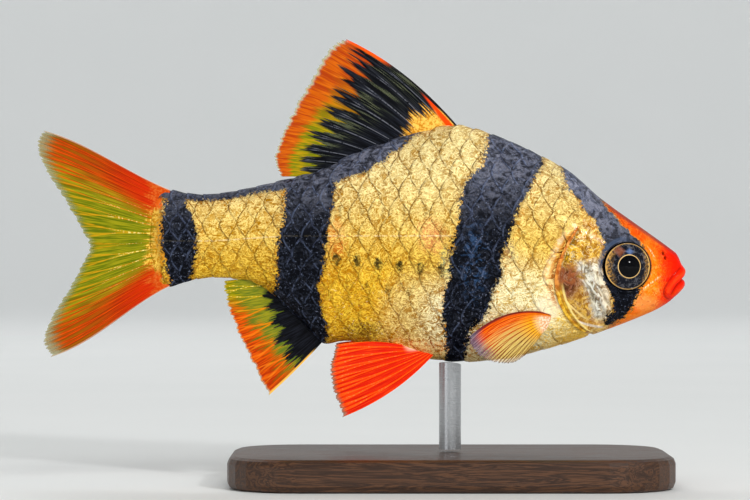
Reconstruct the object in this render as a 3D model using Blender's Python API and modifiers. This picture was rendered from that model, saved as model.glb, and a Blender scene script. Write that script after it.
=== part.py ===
# Tiger barb: a still, life-size display model of the fish, facing +X, held over a plain stand
# Sizes are in millimetres and become metres where a mesh is made. +Z is up, and the origin is
# the centre of the stand base's underside.
import math
import random

import bmesh
import bpy
from mathutils import Matrix, Vector

MM = 0.001
GAP = 0.3

# Outline of the fish, seen from its right side
TAIL_ROOT_X = -28.2
TAIL_CAP_X = -30.1
SNOUT_X = 22.5
NOSE_X = 23.25
BACK = [
    (-30.3, 30.1), (-28.2, 29.5), (-25.0, 28.97), (-21.5, 29.3), (-17.0, 30.35), (-13.0, 31.45),
    (-10.0, 32.9), (-7.0, 34.05), (-3.0, 35.2), (0.5, 35.95), (5.0, 34.65), (10.0, 32.35),
    (12.5, 30.8), (15.0, 28.6), (20.0, 25.0), (22.0, 23.55), (22.9, 22.8), (23.4, 22.1),
]
BELLY = [
    (-30.3, 19.0), (-28.2, 19.65), (-25.0, 20.55), (-22.5, 20.6), (-19.5, 20.05), (-16.0, 17.3),
    (-12.9, 14.2), (-10.5, 14.3), (-5.0, 13.1), (0.0, 12.25), (4.0, 12.4), (8.0, 13.1),
    (14.0, 14.95), (20.0, 17.45), (22.0, 18.6), (23.0, 19.5), (23.5, 20.2),
]
HALF_WIDTH = [
    (-30.3, 0.5), (-28.2, 0.85), (-25.0, 1.3), (-20.0, 1.95), (-14.0, 2.85), (-6.0, 3.95),
    (2.0, 4.65), (8.0, 4.85), (12.0, 4.6), (16.0, 4.0), (19.0, 3.25), (21.5, 2.3), (23.0, 1.6),
    (23.5, 1.4),
]
WIDEST_SHARE = [(-30.0, 0.5), (-15.0, 0.5), (0.0, 0.44), (10.0, 0.46), (18.0, 0.52), (23.5, 0.5)]
UPPER_FULLNESS = [(-30.0, 1.0), (-10.0, 1.1), (8.0, 1.1), (16.0, 0.9), (23.5, 0.85)]
LOWER_FULLNESS = [(-30.0, 1.0), (-15.0, 1.0), (0.0, 0.85), (10.0, 0.9), (16.0, 1.0), (23.5, 0.9)]
BODY_SIDES = 32

# Cuts that part the body, as the X where they cross Z_HIGH and Z_LOW
Z_HIGH, Z_LOW = 40.0, 5.0
NECK_CUT = (9.45, 16.07)
STALK_CUT = (-20.0, -20.0)
TAIL_END, NOSE_END = (-60.0, -60.0), (60.0, 60.0)

# Head
EYE_X, EYE_Z = 17.72, 21.95
EYE_RADIUS, EYE_DEPTH_RADIUS = 2.45, 1.35
EYE_SUNK = 0.6
EYE_TURN = math.radians(13.0)
ORBIT_RADIUS, ORBIT_RIM = 2.6, 0.18
LIP_CORNER_X, LIP_HALF_WIDTH = 21.55, 1.85
LIP_TURN = math.radians(97.0)
UPPER_LIP = {"front": (23.12, 21.5), "corner_z": 19.25, "radii": (0.52, 0.32)}
LOWER_LIP = {"front": (23.22, 20.1), "corner_z": 18.7, "radii": (0.5, 0.32)}
MOUTH_LINE = [(24.4, 21.0), (23.1, 20.66), (22.55, 20.2), (22.1, 19.62), (21.6, 19.1)]
MOUTH_SLIT = (0.3, 0.2)
NOSTRILS = [(21.12, 23.32), (21.22, 22.88)]
NOSTRIL_RADIUS, NOSTRIL_DEPTH = 0.2, 0.35
GILL_COVER = [
    (13.0, 27.1), (13.9, 25.4), (13.8, 22.6), (14.1, 19.6), (15.3, 16.5), (13.5, 15.6),
    (11.4, 16.9), (10.1, 19.6), (10.7, 22.8), (12.0, 25.1),
]
COVER_RAISED, COVER_THICKNESS = 0.18, 0.7

# Fins: what they grow from, their margin, and their rays. Bows bend a ray towards the first
# one by a share of its length, at its first and second third, from the first ray to the last.
FIN_MEMBRANE, FIN_TIP, FIN_ROOT = 0.25, 0.16, 0.34
FIN_THINS_FROM = 0.8
RAY_RIDGE, RIDGE_TAPER = 0.13, 0.6
RAY_OVERHANG = 0.12
RAY_SPREAD = 0.09
RAY_SEED = 7
FIN_SUNK = 0.9
DORSAL = {
    "root_x": (1.5, -12.6), "rays": 12, "rows": 9,
    "margin": [(-10.3, 44.4), (-12.0, 43.4), (-14.4, 39.4), (-16.1, 36.2), (-17.4, 32.8), (-16.8, 30.75)],
    "bows": ((0.07, 0.0), (0.085, 0.0)),
}
ANAL = {
    "root_x": (-12.1, -18.9), "rays": 8, "rows": 8,
    "margin": [(-18.1, 8.9), (-19.8, 12.4), (-21.4, 15.9), (-22.3, 18.6), (-22.5, 20.3)],
    "bows": ((0.02, -0.02), (0.02, -0.02)),
}
UPPER_TAIL = {
    "root": ((-28.0, 29.3), (-28.0, 24.6)), "rays": 10, "rows": 9,
    "margin": [(-40.6, 35.3), (-41.2, 33.9), (-40.3, 31.4), (-38.3, 28.2), (-35.8, 23.95)],
    "bows": ((-0.02, 0.0), (0.06, 0.0)),
}
LOWER_TAIL = {
    "root": ((-28.0, 19.9), (-28.0, 24.2)), "rays": 9, "rows": 9,
    "margin": [(-39.8, 12.8), (-40.5, 14.4), (-39.6, 16.9), (-37.8, 19.9), (-35.8, 23.5)],
    "bows": ((-0.03, 0.0), (0.08, 0.0)),
}
PELVIC = {
    "root": ((-1.75, 12.9), (-3.4, 13.6)), "rays": 9, "rows": 8,
    "margin": [(-10.6, 7.0), (-11.4, 9.3), (-11.8, 11.6), (-11.3, 14.0)],
    "bows": ((0.08, -0.08), (0.08, -0.08)),
    "root_y": 1.5, "splay": 0.22,
}
PECTORAL = {
    "root": ((9.9, 17.1), (9.35, 15.9)), "rays": 13, "rows": 8,
    "margin": [(1.75, 14.8), (2.3, 13.6), (3.4, 12.75), (5.0, 12.35), (6.4, 12.5), (7.5, 13.3)],
    "bows": ((0.19, -0.05), (0.17, -0.05)),
    "splay": 0.2,
}
PECTORAL_RISE, PECTORAL_RISE_LENGTH = 0.45, 1.5

# How far cutters reach past what they cut
CUTTER_REACH = 20.0
COVER_SPAN = (1.0, 9.0)
SLIT_REACH = 6.0
ROD_OVERRUN = 1.5

# Stand
BASE_LENGTH, BASE_WIDTH, BASE_HEIGHT = 44.0, 26.0, 3.2
BASE_CORNER, BASE_BEVEL = 7.0, 0.7
ROD_RADIUS = 1.1

COLOURS = {
    "skin": ((0.80, 0.58, 0.25), 0.4, 0.0),
    "gill": ((0.82, 0.62, 0.28), 0.3, 0.0),
    "eye": ((0.02, 0.02, 0.03), 0.08, 0.0),
    "dark_fin": ((0.03, 0.03, 0.04), 0.4, 0.0),
    "red_fin": ((0.85, 0.14, 0.02), 0.4, 0.0),
    "walnut": ((0.10, 0.05, 0.025), 0.45, 0.0),
    "steel": ((0.6, 0.6, 0.6), 0.25, 1.0),
}


def clear_scene():
    for obj in list(bpy.data.objects):
        bpy.data.objects.remove(obj)


def material(name):
    found = bpy.data.materials.get(name)
    if found:
        return found
    colour, roughness, metallic = COLOURS[name]
    made = bpy.data.materials.new(name)
    made.use_nodes = True
    shader = made.node_tree.nodes["Principled BSDF"]
    shader.inputs["Base Color"].default_value = (*colour, 1.0)
    shader.inputs["Roughness"].default_value = roughness
    shader.inputs["Metallic"].default_value = metallic
    return made


def smooth(keys, x):
    """Height of the smooth curve through the keys at x."""
    x = min(max(x, keys[0][0]), keys[-1][0])
    i = max(k for k in range(len(keys) - 1) if keys[k][0] <= x)
    before, after = max(i - 1, 0), min(i + 2, len(keys) - 1)
    span = keys[i + 1][0] - keys[i][0]
    slope_in = (keys[i + 1][1] - keys[before][1]) / (keys[i + 1][0] - keys[before][0])
    slope_out = (keys[after][1] - keys[i][1]) / (keys[after][0] - keys[i][0])
    t = (x - keys[i][0]) / span
    return (
        (2 * t**3 - 3 * t**2 + 1) * keys[i][1]
        + (t**3 - 2 * t**2 + t) * span * slope_in
        + (3 * t**2 - 2 * t**3) * keys[i + 1][1]
        + (t**3 - t**2) * span * slope_out
    )


def along(points, u, closed=False):
    """Point at share u of the smooth line through the points, which may be a closed loop."""
    count = len(points) if closed else len(points) - 1
    place = min(max(u, 0.0), 1.0) * count
    i = min(int(place), count - 1)
    t = place - i

    def point(k):
        if closed:
            return Vector(points[k % len(points)])
        return Vector(points[min(max(k, 0), len(points) - 1)])

    a, b, c, d = (point(i + k) for k in (-1, 0, 1, 2))
    return (
        b
        + (c - a) * (t / 2)
        + (2 * a - 5 * b + 4 * c - d) * (t * t / 2)
        + (3 * b - a - 3 * c + d) * (t**3 / 2)
    )


def section(x, grow=0.0):
    """Level of the widest place, heights above and below it, and half width of the body at x."""
    top = smooth(BACK, x)
    bottom = smooth(BELLY, x)
    half = smooth(HALF_WIDTH, x)
    level = bottom + (top - bottom) * smooth(WIDEST_SHARE, x)
    shrink = 1.0
    if x > SNOUT_X:
        shrink = math.sqrt(max(0.0, 1 - ((x - SNOUT_X) / (NOSE_X - SNOUT_X)) ** 2))
    elif x < TAIL_ROOT_X:
        shrink = math.sqrt(max(0.0, 1 - ((x - TAIL_ROOT_X) / (TAIL_CAP_X - TAIL_ROOT_X)) ** 2))
    return level, (top - level) * shrink + grow, (level - bottom) * shrink + grow, half * shrink**0.6 + grow


def skin_y(x, z, grow=0.0):
    """Half width of the body at height z of the section at x."""
    level, up, down, half = section(x, grow)
    height, keys = (up, UPPER_FULLNESS) if z > level else (down, LOWER_FULLNESS)
    share = min(abs(z - level) / height, 1.0)
    return half * (1 - share**2) ** (smooth(keys, x) / 2)


def ring(x, place, grow):
    """Points of one section of the body, placed at the X named by place."""
    level, up, down, half = section(x, grow)
    points = []
    for k in range(BODY_SIDES):
        angle = 2 * math.pi * k / BODY_SIDES
        side, rise = math.cos(angle), math.sin(angle)
        full = smooth(UPPER_FULLNESS if rise > 0 else LOWER_FULLNESS, x)
        y = math.copysign(abs(side) ** full, side) * half
        points.append((place, y, level + (up if rise > 0 else down) * rise))
    return points


def stations():
    """X of each section, closer at the head, the snout and the round end of the stalk."""
    cap = [TAIL_ROOT_X + (TAIL_CAP_X - TAIL_ROOT_X) * math.sin(math.radians(a)) for a in (80, 60, 40, 20)]
    trunk_count, head_count, head_start = 32, 16, 10.0
    trunk = [TAIL_ROOT_X + (head_start - TAIL_ROOT_X) * k / trunk_count for k in range(trunk_count)]
    head = [head_start + (SNOUT_X - head_start) * k / head_count for k in range(head_count + 1)]
    nose = [SNOUT_X + (NOSE_X - SNOUT_X) * math.sin(math.radians(a)) for a in (25, 50, 75)]
    return cap + trunk + head + nose


def new_object(name, bm, colour, collection):
    bmesh.ops.recalc_face_normals(bm, faces=bm.faces)
    mesh = bpy.data.meshes.new(name)
    bm.to_mesh(mesh)
    bm.free()
    mesh.transform(Matrix.Scale(MM, 4))
    mesh.materials.append(material(colour))
    obj = bpy.data.objects.new(name, mesh)
    collection.objects.link(obj)
    return obj


def body(name, grow, collection):
    """Closed skin of the whole body, larger all round by grow."""
    bm = bmesh.new()
    xs = stations()
    rings = []
    for x in xs:
        place = x + (-grow if x < TAIL_ROOT_X else grow if x > SNOUT_X else 0.0)
        rings.append([bm.verts.new(p) for p in ring(x, place, grow)])
    for here, there in zip(rings, rings[1:]):
        for k in range(BODY_SIDES):
            n = (k + 1) % BODY_SIDES
            bm.faces.new((here[k], here[n], there[n], there[k]))
    for end, x in ((rings[0], TAIL_CAP_X - grow), (rings[-1], NOSE_X + grow)):
        middle = sum((v.co.z for v in end)) / BODY_SIDES
        pole = bm.verts.new((x, 0, middle))
        for k in range(BODY_SIDES):
            bm.faces.new((end[k], end[(k + 1) % BODY_SIDES], pole))
    return new_object(name, bm, "skin", collection)


def prism(name, outline, y_from, y_to, collection):
    """Flat outline in X and Z, pushed through from one Y to another."""
    bm = bmesh.new()
    face = bm.faces.new([bm.verts.new((x, y_from, z)) for x, z in outline])
    pushed = bmesh.ops.extrude_face_region(bm, geom=[face])
    moved = [v for v in pushed["geom"] if isinstance(v, bmesh.types.BMVert)]
    bmesh.ops.translate(bm, verts=moved, vec=(0, y_to - y_from, 0))
    return new_object(name, bm, "skin", collection)


def ball(name, centre, radii, turn, collection, segments=24, rings=12, colour="skin"):
    """Egg shape with its poles along Y, turned about Z."""
    bm = bmesh.new()
    bmesh.ops.create_uvsphere(bm, u_segments=segments, v_segments=rings, radius=1.0)
    place = (
        Matrix.Translation(centre)
        @ Matrix.Rotation(turn, 4, "Z")
        @ Matrix.Diagonal((radii[0], radii[1], radii[2], 1.0))
        @ Matrix.Rotation(math.pi / 2, 4, "X")
    )
    bmesh.ops.transform(bm, matrix=place, verts=bm.verts)
    return new_object(name, bm, colour, collection)


def tube(name, points, radii, collection, closed=False, sides=2):
    """Round tube along the points, from a curve made into a mesh."""
    curve = bpy.data.curves.new(name, "CURVE")
    curve.dimensions = "3D"
    curve.bevel_depth = MM
    curve.bevel_resolution = sides
    curve.use_fill_caps = not closed
    spline = curve.splines.new("POLY")
    spline.points.add(len(points) - 1)
    spline.use_cyclic_u = closed
    for knot, point, radius in zip(spline.points, points, radii):
        knot.co = (*(Vector(point) * MM), 1.0)
        knot.radius = radius
    source = bpy.data.objects.new(name + "_curve", curve)
    collection.objects.link(source)
    bpy.context.view_layer.update()
    graph = bpy.context.evaluated_depsgraph_get()
    mesh = bpy.data.meshes.new_from_object(source.evaluated_get(graph))
    bm = bmesh.new()
    bm.from_mesh(mesh)
    bmesh.ops.remove_doubles(bm, verts=bm.verts, dist=1e-6)
    bmesh.ops.scale(bm, vec=(1 / MM,) * 3, verts=bm.verts)
    bpy.data.objects.remove(source)
    return new_object(name, bm, "skin", collection)


def apply_boolean(obj, operation, tools):
    """Joins the tools to obj or cuts it by them, keeps the largest closed surface, removes the tools."""
    group = bpy.data.collections.new("tools")
    bpy.context.scene.collection.children.link(group)
    for tool in tools:
        for owner in list(tool.users_collection):
            owner.objects.unlink(tool)
        group.objects.link(tool)
    modifier = obj.modifiers.new("boolean", "BOOLEAN")
    if operation == "INTERSECT":
        modifier.object = tools[0]
    else:
        modifier.operand_type = "COLLECTION"
        modifier.collection = group
    modifier.operation = operation
    modifier.solver = "EXACT"
    bpy.context.view_layer.update()
    graph = bpy.context.evaluated_depsgraph_get()
    mesh = bpy.data.meshes.new_from_object(obj.evaluated_get(graph))
    obj.modifiers.clear()
    obj.data = mesh
    for tool in list(group.objects):
        bpy.data.objects.remove(tool)
    bpy.data.collections.remove(group)
    keep_largest(obj)


def keep_largest(obj):
    bm = bmesh.new()
    bm.from_mesh(obj.data)
    left = set(bm.verts)
    islands = []
    while left:
        island, edge = set(), [left.pop()]
        while edge:
            vert = edge.pop()
            island.add(vert)
            near = {e.other_vert(vert) for e in vert.link_edges} & left
            left -= near
            edge.extend(near)
        islands.append(island)
    islands.sort(key=len, reverse=True)
    for island in islands[1:]:
        bmesh.ops.delete(bm, geom=list(island), context="VERTS")
    bm.to_mesh(obj.data)
    bm.free()


def cubic(a, b, c, d, t):
    return a * (1 - t) ** 3 + b * (3 * t * (1 - t) ** 2) + c * (3 * t * t * (1 - t)) + d * t**3


def ray_point(spec, u, v, overhang):
    """Point at share v of the ray at share u of the fin, in X and Z."""
    root = fin_root(spec, u)
    tip = along(spec["margin"], u)
    tip += (tip - root).normalized() * overhang
    reach = tip - root
    side = Vector((reach.y, -reach.x))
    if side.dot(Vector(spec["margin"][0]) - Vector(spec["margin"][-1])) < 0:
        side = -side
    first, second = (bow[0] * (1 - u) + bow[1] * u for bow in spec["bows"])
    return cubic(root, root + reach / 3 + side * first, root + reach * 2 / 3 + side * second, tip, v)


def fin_root(spec, u):
    if "root" in spec:
        return Vector(spec["root"][0]).lerp(Vector(spec["root"][1]), u)
    x = spec["root_x"][0] * (1 - u) + spec["root_x"][1] * u
    if spec["margin"][0][1] < smooth(BELLY, x):
        return Vector((x, smooth(BELLY, x) + FIN_SUNK))
    return Vector((x, smooth(BACK, x) - FIN_SUNK))


def fin_half_thickness(v, ridge):
    """Half thickness at share v of a ray's length, thicker by ridge at the ray's root."""
    root = FIN_ROOT * (1 - v) ** 3
    thinning = max(0.0, (v - FIN_THINS_FROM) / (1 - FIN_THINS_FROM))
    membrane = FIN_MEMBRANE + (FIN_TIP - FIN_MEMBRANE) * thinning
    return max(membrane, root) + ridge * (1 - RIDGE_TAPER * v)


def fin(name, spec, colour, collection, side_of=lambda reach: 0.0):
    """Fin with a ridge along each ray on both faces, whose triangles are alike."""
    draw = random.Random(RAY_SEED)
    columns, rows = 2 * spec["rays"] - 1, spec["rows"]
    bm = bmesh.new()
    near, far = [], []
    for j in range(columns):
        on_ray = j % 2 == 0
        u = j / (columns - 1)
        overhang = (RAY_OVERHANG if on_ray else -RAY_OVERHANG) + draw.uniform(-RAY_SPREAD, RAY_SPREAD)
        ridge = RAY_RIDGE * (1 + 2 * draw.uniform(-RAY_SPREAD, RAY_SPREAD)) if on_ray else 0.0
        start = ray_point(spec, u, 0.0, 0.0)
        near.append([])
        far.append([])
        for i in range(rows + 1):
            point = ray_point(spec, u, i / rows, overhang)
            middle = side_of((point - start).length)
            half = fin_half_thickness(i / rows, ridge)
            near[j].append(bm.verts.new((point.x, middle + half, point.y)))
            far[j].append(bm.verts.new((point.x, middle - half, point.y)))
    for grid in (near, far):
        for j in range(columns - 1):
            for i in range(rows):
                a, b, c, d = grid[j][i], grid[j + 1][i], grid[j + 1][i + 1], grid[j][i + 1]
                bm.faces.new((a, b, c))
                bm.faces.new((a, c, d))
    rim = [(j, 0) for j in range(columns)] + [(columns - 1, i) for i in range(1, rows + 1)]
    rim += [(j, rows) for j in range(columns - 2, -1, -1)] + [(0, i) for i in range(rows - 1, 0, -1)]
    for (j, i), (m, n) in zip(rim, rim[1:] + rim[:1]):
        bm.faces.new((near[j][i], near[m][n], far[m][n], far[j][i]))
    return new_object(name, bm, colour, collection)


def slab(name, rear_cut, front_cut, collection):
    """Block between two slanting cuts of the body, kept clear of each by half the gap."""
    rear = [x + GAP / 2 for x in rear_cut]
    front = [x - GAP / 2 for x in front_cut]
    outline = [(rear[1], Z_LOW), (front[1], Z_LOW), (front[0], Z_HIGH), (rear[0], Z_HIGH)]
    return prism(name, outline, -CUTTER_REACH, CUTTER_REACH, collection)


def cover_outline(grow):
    """Outline of the gill cover, larger all round by grow."""
    steps = 30
    points = [along(GILL_COVER, k / steps, closed=True) for k in range(steps)]
    grown = []
    for k, point in enumerate(points):
        run = (points[(k + 1) % steps] - points[k - 1]).normalized()
        grown.append(point + Vector((-run.y, run.x)) * grow)
    return grown


def eye_centre(side):
    return Vector((EYE_X, side * (skin_y(EYE_X, EYE_Z) - EYE_SUNK), EYE_Z))


def lip(name, spec, collection):
    """Lip: a tapered tube that runs round the snout from one corner of the mouth to the other."""
    points, radii = [], []
    steps = 16
    for k in range(steps + 1):
        angle = LIP_TURN * (2 * k / steps - 1)
        forward = math.cos(angle)
        x = LIP_CORNER_X + (spec["front"][0] - LIP_CORNER_X) * forward
        z = spec["corner_z"] + (spec["front"][1] - spec["corner_z"]) * max(forward, 0.0) ** 0.9
        points.append((x, LIP_HALF_WIDTH * math.sin(angle), z))
        radii.append(spec["radii"][1] + (spec["radii"][0] - spec["radii"][1]) * max(forward, 0.0))
    return tube(name, points, radii, collection)


def orbit_rim(side, collection):
    """Raised ring of skin round an eye."""
    centre = eye_centre(side)
    steps = 28
    points = []
    for k in range(steps):
        angle = 2 * math.pi * k / steps
        x = centre.x + ORBIT_RADIUS * math.cos(angle)
        z = centre.z + ORBIT_RADIUS * math.sin(angle)
        points.append((x, side * skin_y(x, z), z))
    return tube(f"orbit_{side}", points, [ORBIT_RIM] * steps, collection, closed=True, sides=1)


def mouth_slit(collection):
    steps = 8
    line = [along(MOUTH_LINE, k / steps) for k in range(steps + 1)]
    upper, lower = [], []
    for k, point in enumerate(line):
        run = (line[min(k + 1, steps)] - line[max(k - 1, 0)]).normalized()
        half = (MOUTH_SLIT[0] + (MOUTH_SLIT[1] - MOUTH_SLIT[0]) * k / steps) / 2
        upper.append(point + Vector((run.y, -run.x)) * half)
        lower.append(point - Vector((run.y, -run.x)) * half)
    return prism("mouth_slit", upper + lower[::-1], -SLIT_REACH, SLIT_REACH, collection)


def cover_recess(side, collection):
    """What the gill cover takes out of the head and the shoulder."""
    inner, outer = (side * y for y in COVER_SPAN)
    recess = prism(f"recess_{side}", cover_outline(GAP), inner, outer, collection)
    apply_boolean(recess, "DIFFERENCE", [body("core", -COVER_THICKNESS - GAP, collection)])
    return recess


def build_flesh(collection):
    head = body("head", 0.0, collection)
    lips = [lip("upper_lip", UPPER_LIP, collection), lip("lower_lip", LOWER_LIP, collection)]
    apply_boolean(head, "UNION", lips + [orbit_rim(side, collection) for side in (1, -1)])
    apply_boolean(head, "INTERSECT", [slab("front", NECK_CUT, NOSE_END, collection)])
    cutters = [mouth_slit(collection)]
    for side in (1, -1):
        radii = (EYE_RADIUS + GAP, EYE_DEPTH_RADIUS + GAP, EYE_RADIUS + GAP)
        cutters.append(ball(f"socket_{side}", eye_centre(side), radii, -side * EYE_TURN, collection))
        for k, (x, z) in enumerate(NOSTRILS):
            centre = Vector((x, side * skin_y(x, z), z))
            radii = (NOSTRIL_RADIUS, NOSTRIL_DEPTH, NOSTRIL_RADIUS)
            cutters.append(ball(f"nostril_{side}_{k}", centre, radii, 0.0, collection, 10, 6))
        cutters.append(cover_recess(side, collection))
    apply_boolean(head, "DIFFERENCE", cutters)

    torso = body("torso", 0.0, collection)
    apply_boolean(torso, "INTERSECT", [slab("middle", STALK_CUT, NECK_CUT, collection)])
    apply_boolean(torso, "DIFFERENCE", [cover_recess(side, collection) for side in (1, -1)])

    stalk = body("tail_stalk", 0.0, collection)
    apply_boolean(stalk, "INTERSECT", [slab("rear", TAIL_END, STALK_CUT, collection)])


def build_gill_covers(collection):
    for side, name in ((-1, "gill_cover_right"), (1, "gill_cover_left")):
        inner, outer = (side * y for y in COVER_SPAN)
        cover = prism(name, cover_outline(0.0), inner, outer, collection)
        cover.data.materials[0] = material("gill")
        apply_boolean(cover, "INTERSECT", [body("outer", COVER_RAISED, collection)])
        apply_boolean(cover, "DIFFERENCE", [body("inner", -COVER_THICKNESS, collection)])


def build_eyes(collection):
    for side, name in ((-1, "eye_right"), (1, "eye_left")):
        radii = (EYE_RADIUS, EYE_DEPTH_RADIUS, EYE_RADIUS)
        ball(name, eye_centre(side), radii, -side * EYE_TURN, collection, 28, 14, "eye")


def build_fins(collection):
    fins = [
        fin("dorsal_fin", DORSAL, "dark_fin", collection),
        fin("caudal_fin_upper", UPPER_TAIL, "red_fin", collection),
        fin("caudal_fin_lower", LOWER_TAIL, "red_fin", collection),
        fin("anal_fin", ANAL, "red_fin", collection),
    ]
    for side, word in ((-1, "right"), (1, "left")):

        def pelvic_y(reach, side=side):
            return side * (PELVIC["root_y"] + PELVIC["splay"] * reach)

        def pectoral_y(reach, side=side):
            root_y = skin_y(*PECTORAL["root"][0]) - FIN_SUNK / 2
            rise = PECTORAL_RISE * min(reach, PECTORAL_RISE_LENGTH)
            return side * (root_y + rise + PECTORAL["splay"] * reach)

        fins.append(fin(f"pelvic_fin_{word}", PELVIC, "red_fin", collection, pelvic_y))
        fins.append(fin(f"pectoral_fin_{word}", PECTORAL, "red_fin", collection, pectoral_y))
    for made in fins:
        apply_boolean(made, "DIFFERENCE", [body("clear", GAP, collection)])


def build_stand(collection):
    outline = []
    steps = 6
    for corner, (sx, sy) in enumerate(((1, 1), (-1, 1), (-1, -1), (1, -1))):
        for step in range(steps + 1):
            angle = math.pi / 2 * (corner + step / steps)
            x = sx * (BASE_LENGTH / 2 - BASE_CORNER) + BASE_CORNER * math.cos(angle)
            y = sy * (BASE_WIDTH / 2 - BASE_CORNER) + BASE_CORNER * math.sin(angle)
            outline.append((x, y))
    bm = bmesh.new()
    face = bm.faces.new([bm.verts.new((x, y, 0.0)) for x, y in outline])
    pushed = bmesh.ops.extrude_face_region(bm, geom=[face])
    moved = [v for v in pushed["geom"] if isinstance(v, bmesh.types.BMVert)]
    bmesh.ops.translate(bm, verts=moved, vec=(0, 0, BASE_HEIGHT))
    base = new_object("stand_base", bm, "walnut", collection)
    bevel = base.modifiers.new("edge", "BEVEL")
    bevel.width = BASE_BEVEL * MM
    bevel.segments = 2
    bevel.limit_method = "ANGLE"
    bevel.angle_limit = math.radians(60)

    bm = bmesh.new()
    top = smooth(BELLY, 0.0) + ROD_OVERRUN
    place = Matrix.Translation((0, 0, (BASE_HEIGHT + GAP + top) / 2))
    bmesh.ops.create_cone(
        bm, cap_ends=True, segments=24, radius1=ROD_RADIUS, radius2=ROD_RADIUS,
        depth=top - BASE_HEIGHT - GAP, matrix=place,
    )
    rod = new_object("stand_rod", bm, "steel", collection)
    apply_boolean(rod, "DIFFERENCE", [body("clear", GAP, collection)])


def finish(collection):
    for obj in collection.objects:
        obj.data.shade_smooth()
        obj.data.set_sharp_from_angle(angle=math.radians(40))


def main():
    clear_scene()
    collection = bpy.data.collections.new("tiger_barb")
    bpy.context.scene.collection.children.link(collection)
    build_flesh(collection)
    build_gill_covers(collection)
    build_eyes(collection)
    build_fins(collection)
    build_stand(collection)
    finish(collection)


main()
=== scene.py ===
import math
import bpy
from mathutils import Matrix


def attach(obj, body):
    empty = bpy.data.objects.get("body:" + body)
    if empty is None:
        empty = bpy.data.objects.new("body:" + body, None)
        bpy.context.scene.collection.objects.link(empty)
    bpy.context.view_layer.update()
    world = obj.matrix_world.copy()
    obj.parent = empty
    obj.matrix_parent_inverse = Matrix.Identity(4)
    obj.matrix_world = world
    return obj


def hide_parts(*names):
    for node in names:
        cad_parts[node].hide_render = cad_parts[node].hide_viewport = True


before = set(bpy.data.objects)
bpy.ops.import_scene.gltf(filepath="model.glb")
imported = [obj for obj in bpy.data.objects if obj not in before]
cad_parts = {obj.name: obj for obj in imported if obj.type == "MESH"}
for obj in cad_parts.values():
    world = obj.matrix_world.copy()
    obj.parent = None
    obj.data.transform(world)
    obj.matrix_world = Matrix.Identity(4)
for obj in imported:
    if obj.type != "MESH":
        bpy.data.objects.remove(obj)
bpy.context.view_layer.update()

from types import SimpleNamespace

import bpy
import numpy as np

scene = bpy.context.scene
mm = 0.001

# Places are read off in tenths of a millimetre: along to the right and down from the upper left
# corner of the view, with the stand's middle at 450 along and the floor at 484 down.
originAlong, originDown = 450.0, 484.0
viewWide, viewTall = 750.0, 500.0


def place(points):
    points = np.array(points, dtype=float)
    return np.stack([(points[:, 0] - originAlong) / 10, (originDown - points[:, 1]) / 10], axis=1)


def hue(red, green, blue):  # screen colour to the shader's linear one
    return tuple((v / 12.92 if v <= 0.04045 else ((v + 0.055) / 1.055) ** 2.4)
                 for v in (red / 255, green / 255, blue / 255)) + (1.0,)


# shape helpers, all in millimetres

def curveAt(keys, x):
    xs, ys = np.array(keys, dtype=float).T
    slopes = np.empty(len(xs))
    slopes[1:-1] = (ys[2:] - ys[:-2]) / (xs[2:] - xs[:-2])
    slopes[0] = (ys[1] - ys[0]) / (xs[1] - xs[0])
    slopes[-1] = (ys[-1] - ys[-2]) / (xs[-1] - xs[-2])
    x = np.clip(x, xs[0], xs[-1])
    i = np.clip(np.searchsorted(xs, x, side="right") - 1, 0, len(xs) - 2)
    span = xs[i + 1] - xs[i]
    t = (x - xs[i]) / span
    return ((2 * t**3 - 3 * t**2 + 1) * ys[i] + (t**3 - 2 * t**2 + t) * span * slopes[i]
            + (3 * t**2 - 2 * t**3) * ys[i + 1] + (t**3 - t**2) * span * slopes[i + 1])


def alongLine(points, share):  # smooth line through points, at shares from 0 to 1
    points = np.array(points, dtype=float)
    last = len(points) - 1
    spot = np.clip(share, 0, 1) * last
    i = np.clip(spot.astype(int), 0, last - 1)
    t = (spot - i)[..., None]
    a, b = points[np.maximum(i - 1, 0)], points[i]
    c, d = points[i + 1], points[np.minimum(i + 2, last)]
    return (b + (c - a) * (t / 2) + (2 * a - 5 * b + 4 * c - d) * (t * t / 2)
            + (3 * b - a - 3 * c + d) * (t**3 / 2))


def lineDistance(x, z, points, steps=24):  # how far a place is from a line, and how far along it
    line = alongLine(points, np.linspace(0, 1, steps))
    best = np.full(x.shape, 1e9)
    share = np.zeros(x.shape)
    for k in range(steps - 1):
        (ax, az), (bx, bz) = line[k], line[k + 1]
        length = (bx - ax)**2 + (bz - az)**2 + 1e-9
        t = np.clip(((x - ax) * (bx - ax) + (z - az) * (bz - az)) / length, 0, 1)
        away = np.hypot(x - ax - t * (bx - ax), z - az - t * (bz - az))
        nearer = away < best
        best = np.where(nearer, away, best)
        share = np.where(nearer, (k + t) / (steps - 1), share)
    return best, share


def bump(distance, centre, width):
    return np.exp(-((distance - centre) / width)**2)


def ease(low, high, value):
    t = np.clip((value - low) / (high - low), 0, 1)
    return t * t * (3 - 2 * t)


# the body's form

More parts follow.
